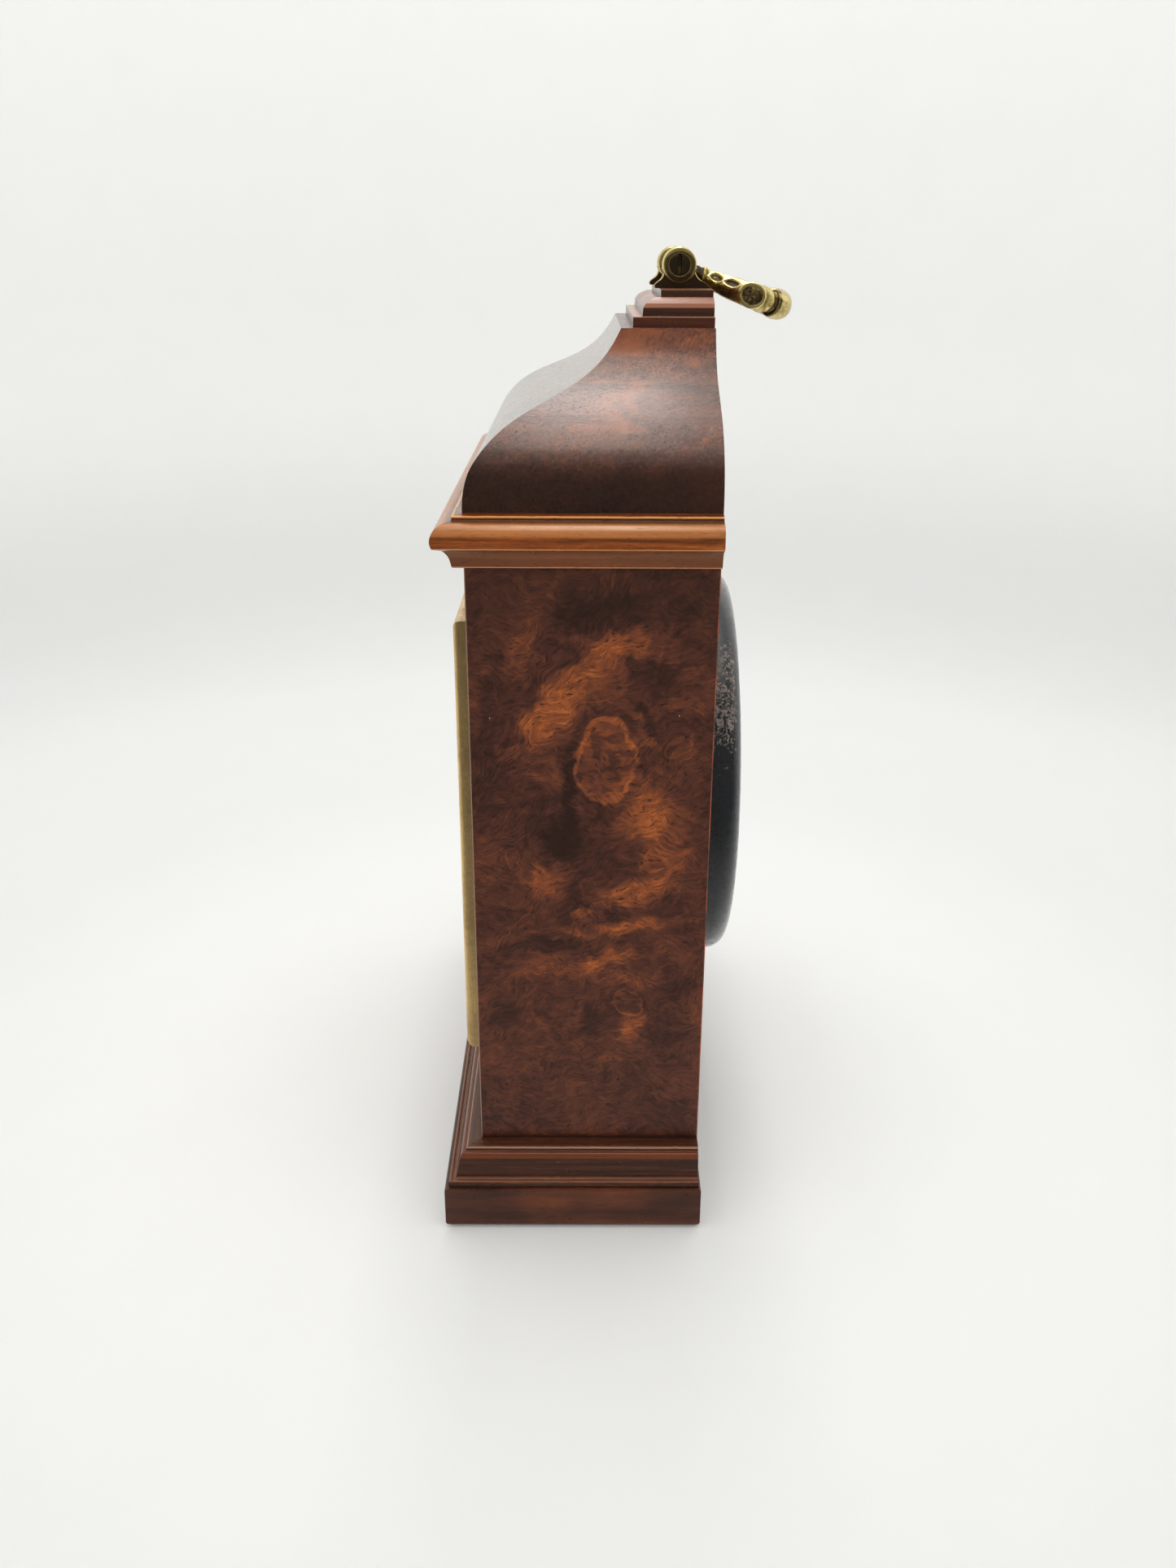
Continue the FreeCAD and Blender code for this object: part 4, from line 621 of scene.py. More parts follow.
def japanned(name, wear=1.0):
    """Black japan over pressed steel, chipped to a pale undercoat at the upper rim."""
    graph = Graph(name)
    x, y, z = graph.axes
    pos = graph.pos
    radius = graph.math("SQRT", x * x + (z - COVER_Z) * (z - COVER_Z))
    soft = pos.noise(0.035, detail=3.0, rough=0.55)
    fine = pos.noise(1.0, detail=3.0, rough=0.6)
    flake = graph.join(x, y * 1.0, z * 0.8).noise(0.50, detail=5.0, rough=0.72, warp=0.9)
    small_flake = graph.join(x * 1.1, y, z).noise(1.7, detail=4.0, rough=0.75, warp=0.5)
    # the wear is heaviest on the rim, high up towards +x
    rim = radius.step(68.0, 77.0)
    upper = z.step(168.0, 196.0) * z.step(209.0, 224.0, low=1.0, high=0.25) * x.step(-30.0, 30.0)
    wall = y.band(45.0, 52.0, soft=3.0)
    zone = rim * (upper * 0.165 + 0.012) * (wall * 0.55 + 0.45)
    chip = ((flake * 0.72 + small_flake * 0.28 - (0.665 - zone)) * 26.0).clamp()
    chip = (chip * wear).clamp()
    grime = pos.noise(3.2, detail=3.0, rough=0.7).linear(0.35, 0.65)
    undercoat = grime.blend((0.40, 0.33, 0.28), (0.115, 0.085, 0.072))
    black = soft.blend((0.0065, 0.0072, 0.0092), (0.014, 0.0155, 0.019))
    scuff = pos.noise(0.28, detail=4.0, rough=0.65, warp=0.4).linear(0.45, 0.75, high=0.22)
    graph.surface(color=chip.blend(black, undercoat), rough=0.20 + scuff + chip * 0.45,
                  spec=0.5, coat=(1.0 - chip) * 0.5, coat_rough=0.10)
    graph.bump(soft * 2.5 + fine * 0.10 - chip * 1.1, strength=0.5, distance=0.00022)
    return graph.material


def silvered(name):
    graph = Graph(name)
    x, y, z = graph.axes
    radius = graph.math("SQRT", x * x + (z - DIAL_Z) * (z - DIAL_Z))
    line = graph.join(radius * 2.2, 0.0, 0.0).noise(1.4, detail=3.0, rough=0.6)
    stain = graph.pos.noise(0.06, detail=4.0, rough=0.6, warp=0.5)
    color = stain.linear(0.45, 0.70).blend((0.66, 0.645, 0.60), (0.46, 0.42, 0.34))
    graph.surface(color=color, metal=0.75, rough=0.40 + (line - 0.5) * 0.15)
    graph.bump(line, strength=0.3, distance=0.00003)
    return graph.material


def matted(name):
    """Dial plate: fine-matted brass."""
    graph = Graph(name)
    dots = graph.pos.cells(1.6)
    stain = graph.pos.noise(0.05, detail=4.0, rough=0.6, warp=0.5)
    color = stain.linear(0.42, 0.70).blend((0.52, 0.36, 0.125), (0.27, 0.175, 0.065))
    graph.surface(color=color, metal=1.0, rough=0.42 + dots * 0.12)
    graph.bump(dots, strength=0.7, distance=0.00008)
    return graph.material


def black_wax(name):
    graph = Graph(name)
    grain = graph.pos.noise(0.9, detail=4.0, rough=0.6)
    graph.surface(color=grain.blend((0.010, 0.010, 0.011), (0.024, 0.022, 0.021)),
                  rough=0.30 + (grain - 0.5) * 0.2, coat=0.4)
    graph.bump(grain, strength=0.3, distance=0.00004)
    return graph.material


def clear_glass(name):
    graph = Graph(name)
    ripple = graph.pos.noise(0.03)
    dust = graph.pos.noise(0.7, detail=4.0, rough=0.7)
    graph.surface(color=(0.96, 0.985, 0.975), trans=1.0, ior=1.05,
                  rough=0.01 + dust.linear(0.6, 0.85, high=0.05))
    graph.bump(ripple, strength=0.12, distance=0.0002)
    return graph.material


# =====================================================================
# Dressing the CAD pieces
# =====================================================================
def dress(names, material):
    """Gives a material to the named CAD pieces, and returns it."""
    for name in names.split():
        piece = NODES[name]
        if not piece.material_slots:
            piece.data.materials.append(material)
        for slot in piece.material_slots:
            slot.material = material
    return material


dress("side_panel_right", burr(
    "burr_side_right", light=SIDE_LIGHT, dark=SIDE_DARK, eyes=SIDE_EYES,
    shade=panel_edges, tone=1.16, spec=0.42))
dress("side_panel_left", burr("burr_side_left", eyes=LEFT_EYES, seed=311.0, shade=panel_edges))
dress("front_board", burr("burr_front", plane="front", seed=97.0))
dress("plinth", straight("plinth_veneer", PLINTH_STOPS, seed=41.0, relief=0.3, spec=0.40,
                         flow=0.35))
dress("bell_top", burr("burr_bell", plane="bell", seed=173.0, gloss=0.27, warm=0.95,
                       shade=bell_shade, tone=0.86))
BASE_WOOD = dress("base_moulding", straight(
    "moulded_base", BASE_STOPS, gloss=0.25, seed=13.0, tints_and_highlights=BASE_TINTS_AND_HIGHLIGHTS))
CROWN_WOOD = dress("crown_moulding", straight(
    "moulded_crown", CROWN_STOPS, pale=1.22, gloss=0.26, spec=0.62,
    reflection=(1.0, 0.72, 0.45), tints_and_highlights=CROWN_TINTS_AND_HIGHLIGHTS))
dress("cap_tier_lower cap_tier_middle cap_tier_upper", straight(
    "moulded_cap", pale=0.62, gloss=0.24, seed=5.0, tints_and_highlights=CAP_TINTS_AND_HIGHLIGHTS))
dress("base_board top_board", straight(
    "carcass_wood", CARCASS_STOPS, pale=0.50, mitred=False, coat=0.0, gloss=0.62))
dress("back_board", straight("back_wood", BACK_STOPS, mitred=False, coat=0.1, gloss=0.5))
BAIL_BRASS = dress("handle_bail", brass_cast("brass_cast_old", tarnish_and_painted_light=bail_tarnish_and_light))
POST_BRASS = dress("handle_posts handle_screws", brass_cast(
    "brass_cast_posts", seed=7.0, tarnish_and_painted_light=post_tarnish_and_light))
dress("door_frame door_glass_retainer hinge_leaves door_catch", brass_flat(
    "brass_door_frame", "frame", tone=1.12, darkening=0.45, rough=0.27, base=(0.66, 0.45, 0.20)))
CORNER_BRASS = brass_cast("brass_corner_castings", seed=23.0)
dress("front_plate back_plate", brass_flat("brass_plate", "x", darkening=0.25, rough=0.24))
TURNED_BRASS = dress(
    "pillars dial_feet barrel barrel_cap intermediate_wheel centre_wheel third_wheel "
    "fourth_wheel escape_wheel minute_wheel hour_wheel balance_wheel escapement_bridge "
    "click_spring regulator_index hand_nut",
    brass_flat("brass_turned", darkening=0.22, rough=0.20, seed=5.0))
dress("hinge_pins steel_screws centre_arbor intermediate_arbor third_arbor fourth_arbor "
      "escape_arbor barrel_arbor ratchet_wheel click pallet_lever stub_posts cannon_pinion",
      steel("steel_polished", base=STEEL, stained=hue(STEEL, 0.62), stain_range=(0.42, 0.66),
            rough=0.24))
SCREW_METAL = brass_flat("pivot_screw_metal", "x", tone=0.20, darkening=0.8, rough=0.36, seed=3.0,
                         base=(0.42, 0.30, 0.17))
dress("mainspring hairspring minute_hand hour_hand", steel(
    "steel_blued", base=(0.020, 0.040, 0.150), stained=(0.045, 0.030, 0.110),
    stain_range=(0.35, 0.65), rough=0.2))
dress("back_cover", japanned("black_japan"))
dress("back_cover_ring", japanned("black_japan_ring", wear=0.6))
dress("chapter_ring", silvered("silvered_ring"))
dress("dial_plate", matted("matted_brass"))
WAX = black_wax("black_wax")
dress("door_glass", clear_glass("door_glass"))


# =====================================================================
# Mesh helpers
# =====================================================================
def add_piece(mesh, name, body, material, smooth=None, replaced=None):
    """Makes an object from a bmesh in millimetres and hangs it on a body."""
    bmesh.ops.recalc_face_normals(mesh, faces=mesh.faces)
    bmesh.ops.scale(mesh, vec=(MM, MM, MM), verts=mesh.verts)
    data = bpy.data.meshes.new(name)
    mesh.to_mesh(data)
    mesh.free()
    if smooth is not None:
        data.shade_smooth()
        data.set_sharp_from_angle(angle=math.radians(smooth))
    piece = bpy.data.objects.new(name, data)
    bpy.context.scene.collection.objects.link(piece)
    data.materials.append(material)
    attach(piece, body)
    if replaced:
        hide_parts(replaced)
    return piece


def curve_through(points, steps):
    """Catmull-Rom curve with so many steps a span; two points stay a straight line."""
    if len(points) < 3:
        return list(points)
    curve = []
    last = len(points) - 1
    for i in range(last):
        span = zip(points[max(i - 1, 0)], points[i], points[i + 1], points[min(i + 2, last)])
        span = list(span)
        for k in range(steps):
            t = k / steps
            curve.append(tuple(
                0.5 * (2 * start + (end - before) * t
                       + (2 * before - 5 * start + 4 * end - after) * t * t
                       + (3 * start - before - 3 * end + after) * t ** 3)
                for before, start, end, after in span))
    curve.append(tuple(points[-1]))
    return curve


def wobble(x, y, z):
    """A smooth irregularity, the same each run."""
    return (math.sin(x * 0.37 + 1.3) * math.cos(y * 0.29 - 0.4)
            + math.sin(z * 0.43 + x * 0.11)) * 0.5


def smooth_step(low, high, value):
    t = min(1.0, max(0.0, (value - low) / (high - low)))
    return t * t * (3 - 2 * t)


def peak(value, centre, half_width):
    return max(0.0, 1.0 - ((value - centre) / half_width) ** 2) ** 2


def bridge(mesh, first, second):
    """Faces between two closed rings."""
    count = len(first)
    for k in range(count):
        after = (k + 1) % count
        mesh.faces.new((first[k], first[after], second[after], second[k]))


def tube(mesh, rings):
    """Joins rings into a tube with closed ends."""
    for first, second in zip(rings, rings[1:]):
        bridge(mesh, first, second)
    mesh.faces.new(rings[0][::-1])
    mesh.faces.new(rings[-1])


def revolve(mesh, steps, section):
    """Ring of closed sections; section(angle) lists one section's corners."""
    rows = []
    for k in range(steps):
        corners = section(2 * math.pi * k / steps)
        rows.append([mesh.verts.new(corner) for corner in corners])
    for k in range(steps):
        bridge(mesh, rows[k], rows[(k + 1) % steps])


def lathe(mesh, steps, centre_z, outline):
    """Turns a closed (radius, y) outline about an axis along y."""
    def section(angle):
        sin, cos = math.sin(angle), math.cos(angle)
        return [(radius * sin, y, centre_z + radius * cos) for radius, y in outline]
    revolve(mesh, steps, section)


# =====================================================================
# Base and crown mouldings
# =====================================================================
MITRE_GAP = 0.03
MOULDING_WAVE = 0.035               # unevenness of the worked faces
FRONT_STATIONS = [i / 44 for i in range(45)]
# closer together near the back end
SIDE_STATIONS = ([i / 20 * 0.88 for i in range(21)]
                 + [0.88 + 0.12 * (i + 1) / 14 for i in range(14)])

# Smooth runs of (projection, z), with a sharp corner between runs
CROWN_RUNS = [
    [(0, 257.5), (3.1, 258.1)],
    [(3.1, 258.1), (3.35, 258.25), (3.6, 258.6)],
    [(3.6, 258.6), (3.9, 260.0), (4.4, 261.7), (5.4, 263.3), (6.4, 264.3)],
    [(6.4, 264.3), (8.5, 265.0)],
    [(8.5, 265.0), (9.1, 265.25), (9.45, 265.9), (9.8, 267.6), (9.45, 269.5), (8.2, 271.5),
     (6.2, 272.7), (3.6, 273.3)],
    [(3.6, 273.3), (3.2, 273.6), (3.15, 274.2)],
    [(3.15, 274.2), (3.35, 274.45), (3.2, 274.7)],
    [(3.2, 274.7), (0, 275.3)]]
BASE_RUNS = [
    [(0, 18.1), (12.1, 18.1)],
    [(12.1, 18.1), (12.1, 19.9), (11.9, 20.5), (11.4, 20.75), (10.7, 20.5), (9.95, 20.5)],
    [(9.95, 20.5), (9.5, 20.9), (9.2, 21.6), (8.85, 22.9), (8.35, 25.6), (7.9, 28.0),
     (7.45, 29.6), (6.8, 30.3), (6.0, 30.35)],
    [(6.0, 30.35), (5.6, 30.55), (5.55, 31.1)],
    [(5.55, 31.1), (5.5, 31.5), (5.2, 31.75)],
    [(5.2, 31.75), (4.2, 32.1), (0, 32.3)]]
# Chips: x, y, z, radius, depth
CROWN_CHIPS = [(109.8, 41.5, 268.6, 2.8, 0.9), (109.5, 40.5, 265.6, 2.0, 0.8),
               (103.2, -17, 274.6, 1.6, 0.45), (109.4, -30, 266.2, 1.3, 0.3),
               (-109.7, 12, 268.0, 1.8, 0.4), (40, -51.8, 268.3, 1.6, 0.35)]
BASE_CHIPS = [(105.5, 33, 31.6, 1.2, 0.3), (111.6, 10, 20.6, 1.2, 0.25),
              (30, -54.0, 20.6, 1.4, 0.3)]


def moulding_point(side, t, projection, z, chips):
    """side: 0 for the front length, 1 for the right, -1 for the left."""
    if side == 0:
        half = CASE_HALF_WIDTH + projection - MITRE_GAP
        point = Vector((-half + 2 * half * t, CASE_FRONT - projection, z))
        outward = Vector((0, -1, 0))
    else:
        start = CASE_FRONT - projection + MITRE_GAP
        point = Vector((side * (CASE_HALF_WIDTH + projection),
                        start + (CASE_BACK - start) * t, z))
        outward = Vector((side, 0, 0))
    if projection > 0.3:            # the hidden back stays true
        point += outward * MOULDING_WAVE * wobble(point.x, point.y, z)
        for *centre, radius, depth in chips:
            away = (point - Vector(centre)).length
            if away < radius:
                point -= ((outward * 0.8 + Vector((0, 0.0, 0.35))) * depth
                          * (1 - (away / radius) ** 2) ** 2
                          * (0.8 + 0.4 * wobble(point.y * 9, z * 9, point.x)))
    return point


def moulding(name, runs, material, slot, chips):
    """Three mitred lengths round the front and sides."""
    outline = [runs[0][0]]
    for run in runs:
        outline += curve_through(run, 6)[1:]
    mesh = bmesh.new()
    for side in (0, -1, 1):
        rings = []
        for t in SIDE_STATIONS if side else FRONT_STATIONS:
            rings.append([mesh.verts.new(moulding_point(side, t, projection, z, chips))
                          for projection, z in outline])
        if side == -1:              # mirrored, so wound the other way
            for first, second in zip(rings, rings[1:]):
                bridge(mesh, second, first)
            mesh.faces.new(rings[0])
            mesh.faces.new(rings[-1][::-1])
        else:
            tube(mesh, rings)
    add_piece(mesh, name, "case", material, smooth=28, replaced=slot)


moulding("crown_lengths", CROWN_RUNS, CROWN_WOOD, "crown_moulding", CROWN_CHIPS)
moulding("base_lengths", BASE_RUNS, BASE_WOOD, "base_moulding", BASE_CHIPS)


# =====================================================================
# The bail: x across, out away from the pivot, up square to both
# =====================================================================
# Stations from one eye to the middle of the grip:
# x, out, up, half width, half height, how faceted, how boxy
BAIL_STATIONS = [
    (14.5, 3.6, 0.0, 2.1, 2.7, 0.2, 0), (14.5, 7.6, -0.1, 2.15, 2.35, 0.5, 0),
    (14.55, 9.6, 0.0, 2.3, 2.75, 0.8, 0), (14.6, 11.2, -0.2, 2.25, 2.75, 1, 0),
    (15.3, 14.0, -0.4, 2.6, 3.15, 1, 0), (17.1, 17.6, -0.35, 3.05, 3.65, 1, 0),
    (19.3, 21.2, -0.25, 3.5, 3.95, 0.9, 0.1), (21.3, 24.6, -0.05, 4.0, 4.2, 0.35, 0.65),
    (22.1, 27.6, 0.2, 4.35, 4.45, 0, 1), (21.9, 30.4, 0.4, 4.35, 4.4, 0, 0.9),
    (21.0, 32.4, 0.5, 4.0, 4.1, 0, 0.5), (20.1, 33.8, 0.55, 3.7, 3.8, 0, 0.1),
    (19.5, 34.6, 0.6, 3.5, 3.6, 0, 0), (19.0, 35.1, 0.65, 4.4, 4.5, 0, 0),
    (18.2, 35.9, 0.7, 4.95, 5.0, 0, 0), (14.5, 38.3, 0.8, 5.1, 5.1, 0, 0),
    (9.5, 39.3, 0.95, 5.25, 5.3, 0, 0), (4.5, 39.7, 1.0, 5.4, 5.45, 0, 0),
    (0.0, 39.8, 1.0, 5.45, 5.5, 0, 0)]
# Flats round the arm: direction in degrees, distance as a share of the half size
BAIL_FLATS = [(42, 0.86), (-40, 0.84), (-97, 0.93), (100, 0.95), (150, 0.92), (-150, 0.92)]
# Pits in the grip: x, angle round it, radius, depth
GRIP_PITS = [(9.0, 0.35, 0.9, 0.35), (12.2, -0.5, 0.8, 0.30), (5.5, 0.9, 1.0, 0.3),
             (13.0, 0.5, 0.7, 0.25), (7.0, -0.2, 0.8, 0.25), (-6, 0.6, 0.9, 0.3)]
# Section of the eye: distance along x, radius from the pivot
EYE_OUTLINE = [(12.85, 2.1), (12.85, 5.2), (13.05, 5.7), (13.6, 6.0), (14.9, 6.1),
               (16.1, 6.0), (16.6, 5.8), (16.85, 5.3), (16.85, 2.1)]
BAIL_AROUND = 72


def arm_relief(out, up, cos):
    """Relief and extra roughness on the outer face of an arm."""
    relief = roughness = 0.0
    # two sunk lozenges with raised lips
    for at_out, at_up, half_out, half_up, turn, depth in LOZENGES:
        along, square = rotated(out - at_out, up - at_up, turn)
        radius = abs(along / half_out) ** 1.35 + abs(square / half_up) ** 1.5
        relief += ((-depth * (1 - smooth_step(0.55, 1.0, radius)) + 0.26 * peak(radius, 1.28, 0.42))
                   * smooth_step(0.0, 0.25, cos))
    # collar next to the eye
    relief += 0.38 * peak(out + up * 0.25, 9.9, 0.9)
    # the oval button, sunk inside a raised lip
    radius = math.hypot((out - BUTTON_OUT) / BUTTON_HALF_OUT, (up - BUTTON_UP) / BUTTON_HALF_UP)
    if out < 34:
        relief += -0.55 * (1 - smooth_step(0.88, 1.0, radius)) + 0.55 * peak(radius, 1.12, 0.17)
        if radius < 0.9:
            roughness = (wobble(out * 9.0, up * 8.0, 3.0) * 0.11
                         + wobble(out * 19.0, up * 17.0, 1.0) * 0.05)
    # a shallow hollow running up to the button
    relief -= 0.30 * peak(math.hypot((out - 23.2) / 1.9, (up + 0.4) / 2.3), 0.0, 1.0)
    return relief, roughness


def bail_point(station, normal_x, normal_out, angle):
    """One surface point of the bail, at an angle round its centre line."""
    x, out, up, half_width, half_height, facet, boxy = station
    cos, sin = math.cos(angle), math.sin(angle)
    faceted = sum(max(0.0, math.cos(angle - math.radians(turn)) / reach) ** 12
                  for turn, reach in BAIL_FLATS) ** (-1 / 12)
    power = 2.0 + 1.4 * boxy
    rounded = (abs(cos) ** power + abs(sin) ** power) ** (-1 / power)
    radius = rounded * (1 - facet) + min(faceted, 1.05) * facet
    sideways, upwards = half_width * radius * cos, half_height * radius * sin
    x, out, up = x + normal_x * sideways, out + normal_out * sideways, up + upwards
    relief = 0.0
    lump = (wobble(x * 2.3, out * 2.0, up * 2.6) * 0.05
            + wobble(x * 7.1 + 3, out * 6.3, up * 6.7) * 0.022)
    if cos > 0.0 and abs(x) > 12.0:
        relief, roughness = arm_relief(out, up, cos)
        lump += roughness
    if abs(x) < 14.5 and out > 30:
        lump *= 1.6
        for pit_x, pit_angle, pit_radius, depth in GRIP_PITS:
            away = math.hypot(x - pit_x, (math.atan2(sin, cos) - pit_angle) * half_width)
            lump -= depth * peak(away, 0.0, pit_radius)
    swell = relief + lump
    x, out = x + normal_x * swell * abs(cos), out + normal_out * swell * abs(cos)
    up += swell * sin
    return (x, PIVOT_Y + out * SLOPE_COS + up * SLOPE_SIN,
            PIVOT_Z - out * SLOPE_SIN + up * SLOPE_COS)


def bail():
    half = curve_through(BAIL_STATIONS, 9)
    line = half + [(-x, *rest) for x, *rest in half[-2::-1]]
    mesh = bmesh.new()
    rings = []
    for i, station in enumerate(line):
        before, after = line[max(i - 1, 0)], line[min(i + 1, len(line) - 1)]
        run_x, run_out = after[0] - before[0], after[1] - before[1]
        length = math.hypot(run_x, run_out)
        normal_x, normal_out = run_out / length, -run_x / length    # outwards on both arms
        rings.append([mesh.verts.new(bail_point(station, normal_x, normal_out,
                                                2 * math.pi * k / BAIL_AROUND))
                      for k in range(BAIL_AROUND)])
    tube(mesh, rings)
    for side in (1, -1):
        def eye(angle):
            uneven = 1 + 0.012 * math.sin(3 * angle + 1)
            return [(side * x, PIVOT_Y + radius * uneven * math.cos(angle),
                     PIVOT_Z + radius * uneven * math.sin(angle)) for x, radius in EYE_OUTLINE]
        revolve(mesh, 72, eye)
    piece = add_piece(mesh, "bail_casting", "handle", BAIL_BRASS, smooth=40,
                      replaced="handle_bail")
    remesh = piece.modifiers.new("one_casting", "REMESH")
    remesh.mode = "VOXEL"
    remesh.voxel_size = 0.00026
    remesh.use_smooth_shade = True
    soften = piece.modifiers.new("fettled", "SMOOTH")
    soften.factor = 0.5
    soften.iterations = 1


# =====================================================================
# Handle posts and pivot screws
# =====================================================================
# Foot of a post seen from the side: (y, z)
FOOT_OUTLINE = [
    (22.2, 340.4), (41.4, 340.4), (41.55, 340.9), (41.1, 341.6), (39.9, 342.5), (38.4, 343.3),
    (37.3, 344.4), (36.6, 345.9), (36.3, 347.5), (25.4, 347.5), (25.2, 345.9), (24.8, 344.4),
    (23.9, 343.2), (22.7, 342.3), (22.0, 341.5), (21.95, 340.9)]
FOOT_CENTRE_Y = 31.8
FOOT_BOTTOM = 340.42
# Layers across the foot: x, how far the edge is rounded in
FOOT_LAYERS = [(17.1, 0.35), (17.4, 0.05), (17.8, 0.0), (19.7, 0.0), (20.1, 0.05), (20.4, 0.35)]
# Boss with its countersunk screw seat: x, radius from the pivot
BOSS_OUTLINE = [
    (17.05, 1.7), (17.05, 5.3), (17.25, 5.8), (17.7, 6.02), (19.6, 6.08), (20.35, 6.03),
    (20.8, 5.85), (21.02, 5.55), (21.05, 5.2), (20.98, 4.6), (20.98, 3.95), (20.90, 3.78),
    (20.7, 3.70), (19.7, 3.62), (19.7, 1.7)]
HEAD_RADIUS = 3.6
HEAD_TOP_X, HEAD_UNDER_X = 21.20, 19.75
SLOT_HALF_WIDTH, SLOT_DEPTH = 0.56, 0.95
SHANK_RADIUS, SHANK_SPAN, SHANK_STEPS = 1.62, (12.2, 19.9), 32


def handle_post(side, side_name):
    """Foot and boss, rounded where hands have rubbed them."""
    mesh = bmesh.new()
    layers = []
    for x, rounding in FOOT_LAYERS:
        ring = []
        for y, z in curve_through(FOOT_OUTLINE + FOOT_OUTLINE[:1], 3)[:-1]:
            reach = max(abs(y - FOOT_CENTRE_Y), 1.0) if z > 340.6 else 9.6
            edge_y = y + (FOOT_CENTRE_Y - y) / reach * rounding * 0.7
            edge_z = z - rounding * 0.5 if z > 343 else z
            ring.append(mesh.verts.new((side * x, edge_y, max(edge_z, FOOT_BOTTOM))))
        layers.append(ring)
    tube(mesh, layers)

    def boss(angle):
        return [(side * x,
                 PIVOT_Y + radius * math.cos(angle) * (1 + 0.006 * math.sin(5 * angle)),
                 PIVOT_Z + radius * math.sin(angle)) for x, radius in BOSS_OUTLINE]
    revolve(mesh, 96, boss)
    add_piece(mesh, "post_casting_" + side_name, "case", POST_BRASS, smooth=35,
              replaced="handle_posts")


def pivot_screw(side, side_name):
    """Slotted, slightly domed head on a plain shank."""
    mesh = bmesh.new()
    bmesh.ops.create_grid(mesh, x_segments=60, y_segments=60, size=3.7)
    for vert in mesh.verts:
        y, z = vert.co.x, vert.co.y
        radius = math.hypot(y, z)
        if radius > HEAD_RADIUS:    # draw the corners of the grid in to a disc
            y, z = y * HEAD_RADIUS / radius, z * HEAD_RADIUS / radius
            radius = HEAD_RADIUS
        x = (HEAD_TOP_X - 0.010 * radius * radius
             - (0.28 * smooth_step(3.25, HEAD_RADIUS, radius) + 0.02))
        slot = 1 - smooth_step(SLOT_HALF_WIDTH - 0.10, SLOT_HALF_WIDTH + 0.06, abs(y))
        x -= SLOT_DEPTH * slot
        vert.co = Vector((side * x, PIVOT_Y + y, PIVOT_Z + z))
    bmesh.ops.remove_doubles(mesh, verts=mesh.verts, dist=0.004)
    bmesh.ops.dissolve_degenerate(mesh, dist=0.004, edges=mesh.edges)
    rim = [edge for edge in mesh.edges if edge.is_boundary]
    skirt = bmesh.ops.extrude_edge_only(mesh, edges=rim)
    for part in skirt["geom"]:
        if isinstance(part, bmesh.types.BMVert):
            part.co.x = side * HEAD_UNDER_X
    bmesh.ops.holes_fill(mesh, edges=[edge for edge in mesh.edges if edge.is_boundary])

    lines = []
    for k in range(SHANK_STEPS):
        angle = 2 * math.pi * k / SHANK_STEPS
        lines.append([mesh.verts.new((side * x, PIVOT_Y + SHANK_RADIUS * math.cos(angle),
                                      PIVOT_Z + SHANK_RADIUS * math.sin(angle)))
                      for x in SHANK_SPAN])
    for k in range(SHANK_STEPS):
        line, after = lines[k], lines[(k + 1) % SHANK_STEPS]
        mesh.faces.new((line[0], line[1], after[1], after[0]))
    mesh.faces.new([line[0] for line in lines])
    mesh.faces.new([line[1] for line in lines][::-1])
    add_piece(mesh, "pivot_screw_" + side_name, "case", SCREW_METAL, smooth=35,
              replaced="handle_screws")


bail()
for side_sign, label in ((1, "right"), (-1, "left")):
    handle_post(side_sign, label)
    pivot_screw(side_sign, label)


# =====================================================================
# Dial: waxed numerals and tracks
# =====================================================================
MARK_BACK, MARK_FACE = -35.52, -35.60       # y of the waxed marks
NUMERAL_RADIUS, MINUTE_RADIUS = 57.4, 66.9
NUMERALS = ["XII", "I", "II", "III", "IIII", "V", "VI", "VII", "VIII", "IX", "X", "XI"]
TOP, FOOT = 5.3, -5.3
# Each letter: width, strokes (x, z to x, z, thickness) and serif places (x, z)
LETTERS = {
    "I": (3.0, [(0.0, FOOT, 0.0, TOP, 1.55)], [(0.0, TOP), (0.0, FOOT)]),
    "V": (5.8, [(-2.0, TOP, 0.0, FOOT, 1.6), (2.0, TOP, 0.25, FOOT + 0.6, 0.55)],
          [(-2.0, TOP), (2.0, TOP)]),
    "X": (6.0, [(-2.1, TOP, 2.1, FOOT, 1.6), (2.1, TOP, -2.1, FOOT, 0.55)],
          [(-2.1, TOP), (2.1, TOP), (-2.1, FOOT), (2.1, FOOT)])}
# Circles: inner radius, width
TRACKS = [(65.55, 0.26), (68.25, 0.26), (49.7, 0.30), (69.4, 0.22)]


def dial_slab(mesh, degrees, radius, corners, proud=0.0):
    """A thin plate set round the dial; corners are (sideways, outwards) from its place."""
    angle = math.radians(degrees)
    sin, cos = math.sin(angle), math.cos(angle)
    places = [((radius + out) * sin + aside * cos, DIAL_Z + (radius + out) * cos - aside * sin)
              for aside, out in corners]
    back = [mesh.verts.new((x, MARK_BACK, z)) for x, z in places]
    face = [mesh.verts.new((x, MARK_FACE - proud, z)) for x, z in places]
    count = len(places)
    mesh.faces.new(back)
    mesh.faces.new(face[::-1])
    for k in range(count):
        after = (k + 1) % count
        mesh.faces.new((back[k], face[k], face[after], back[after]))


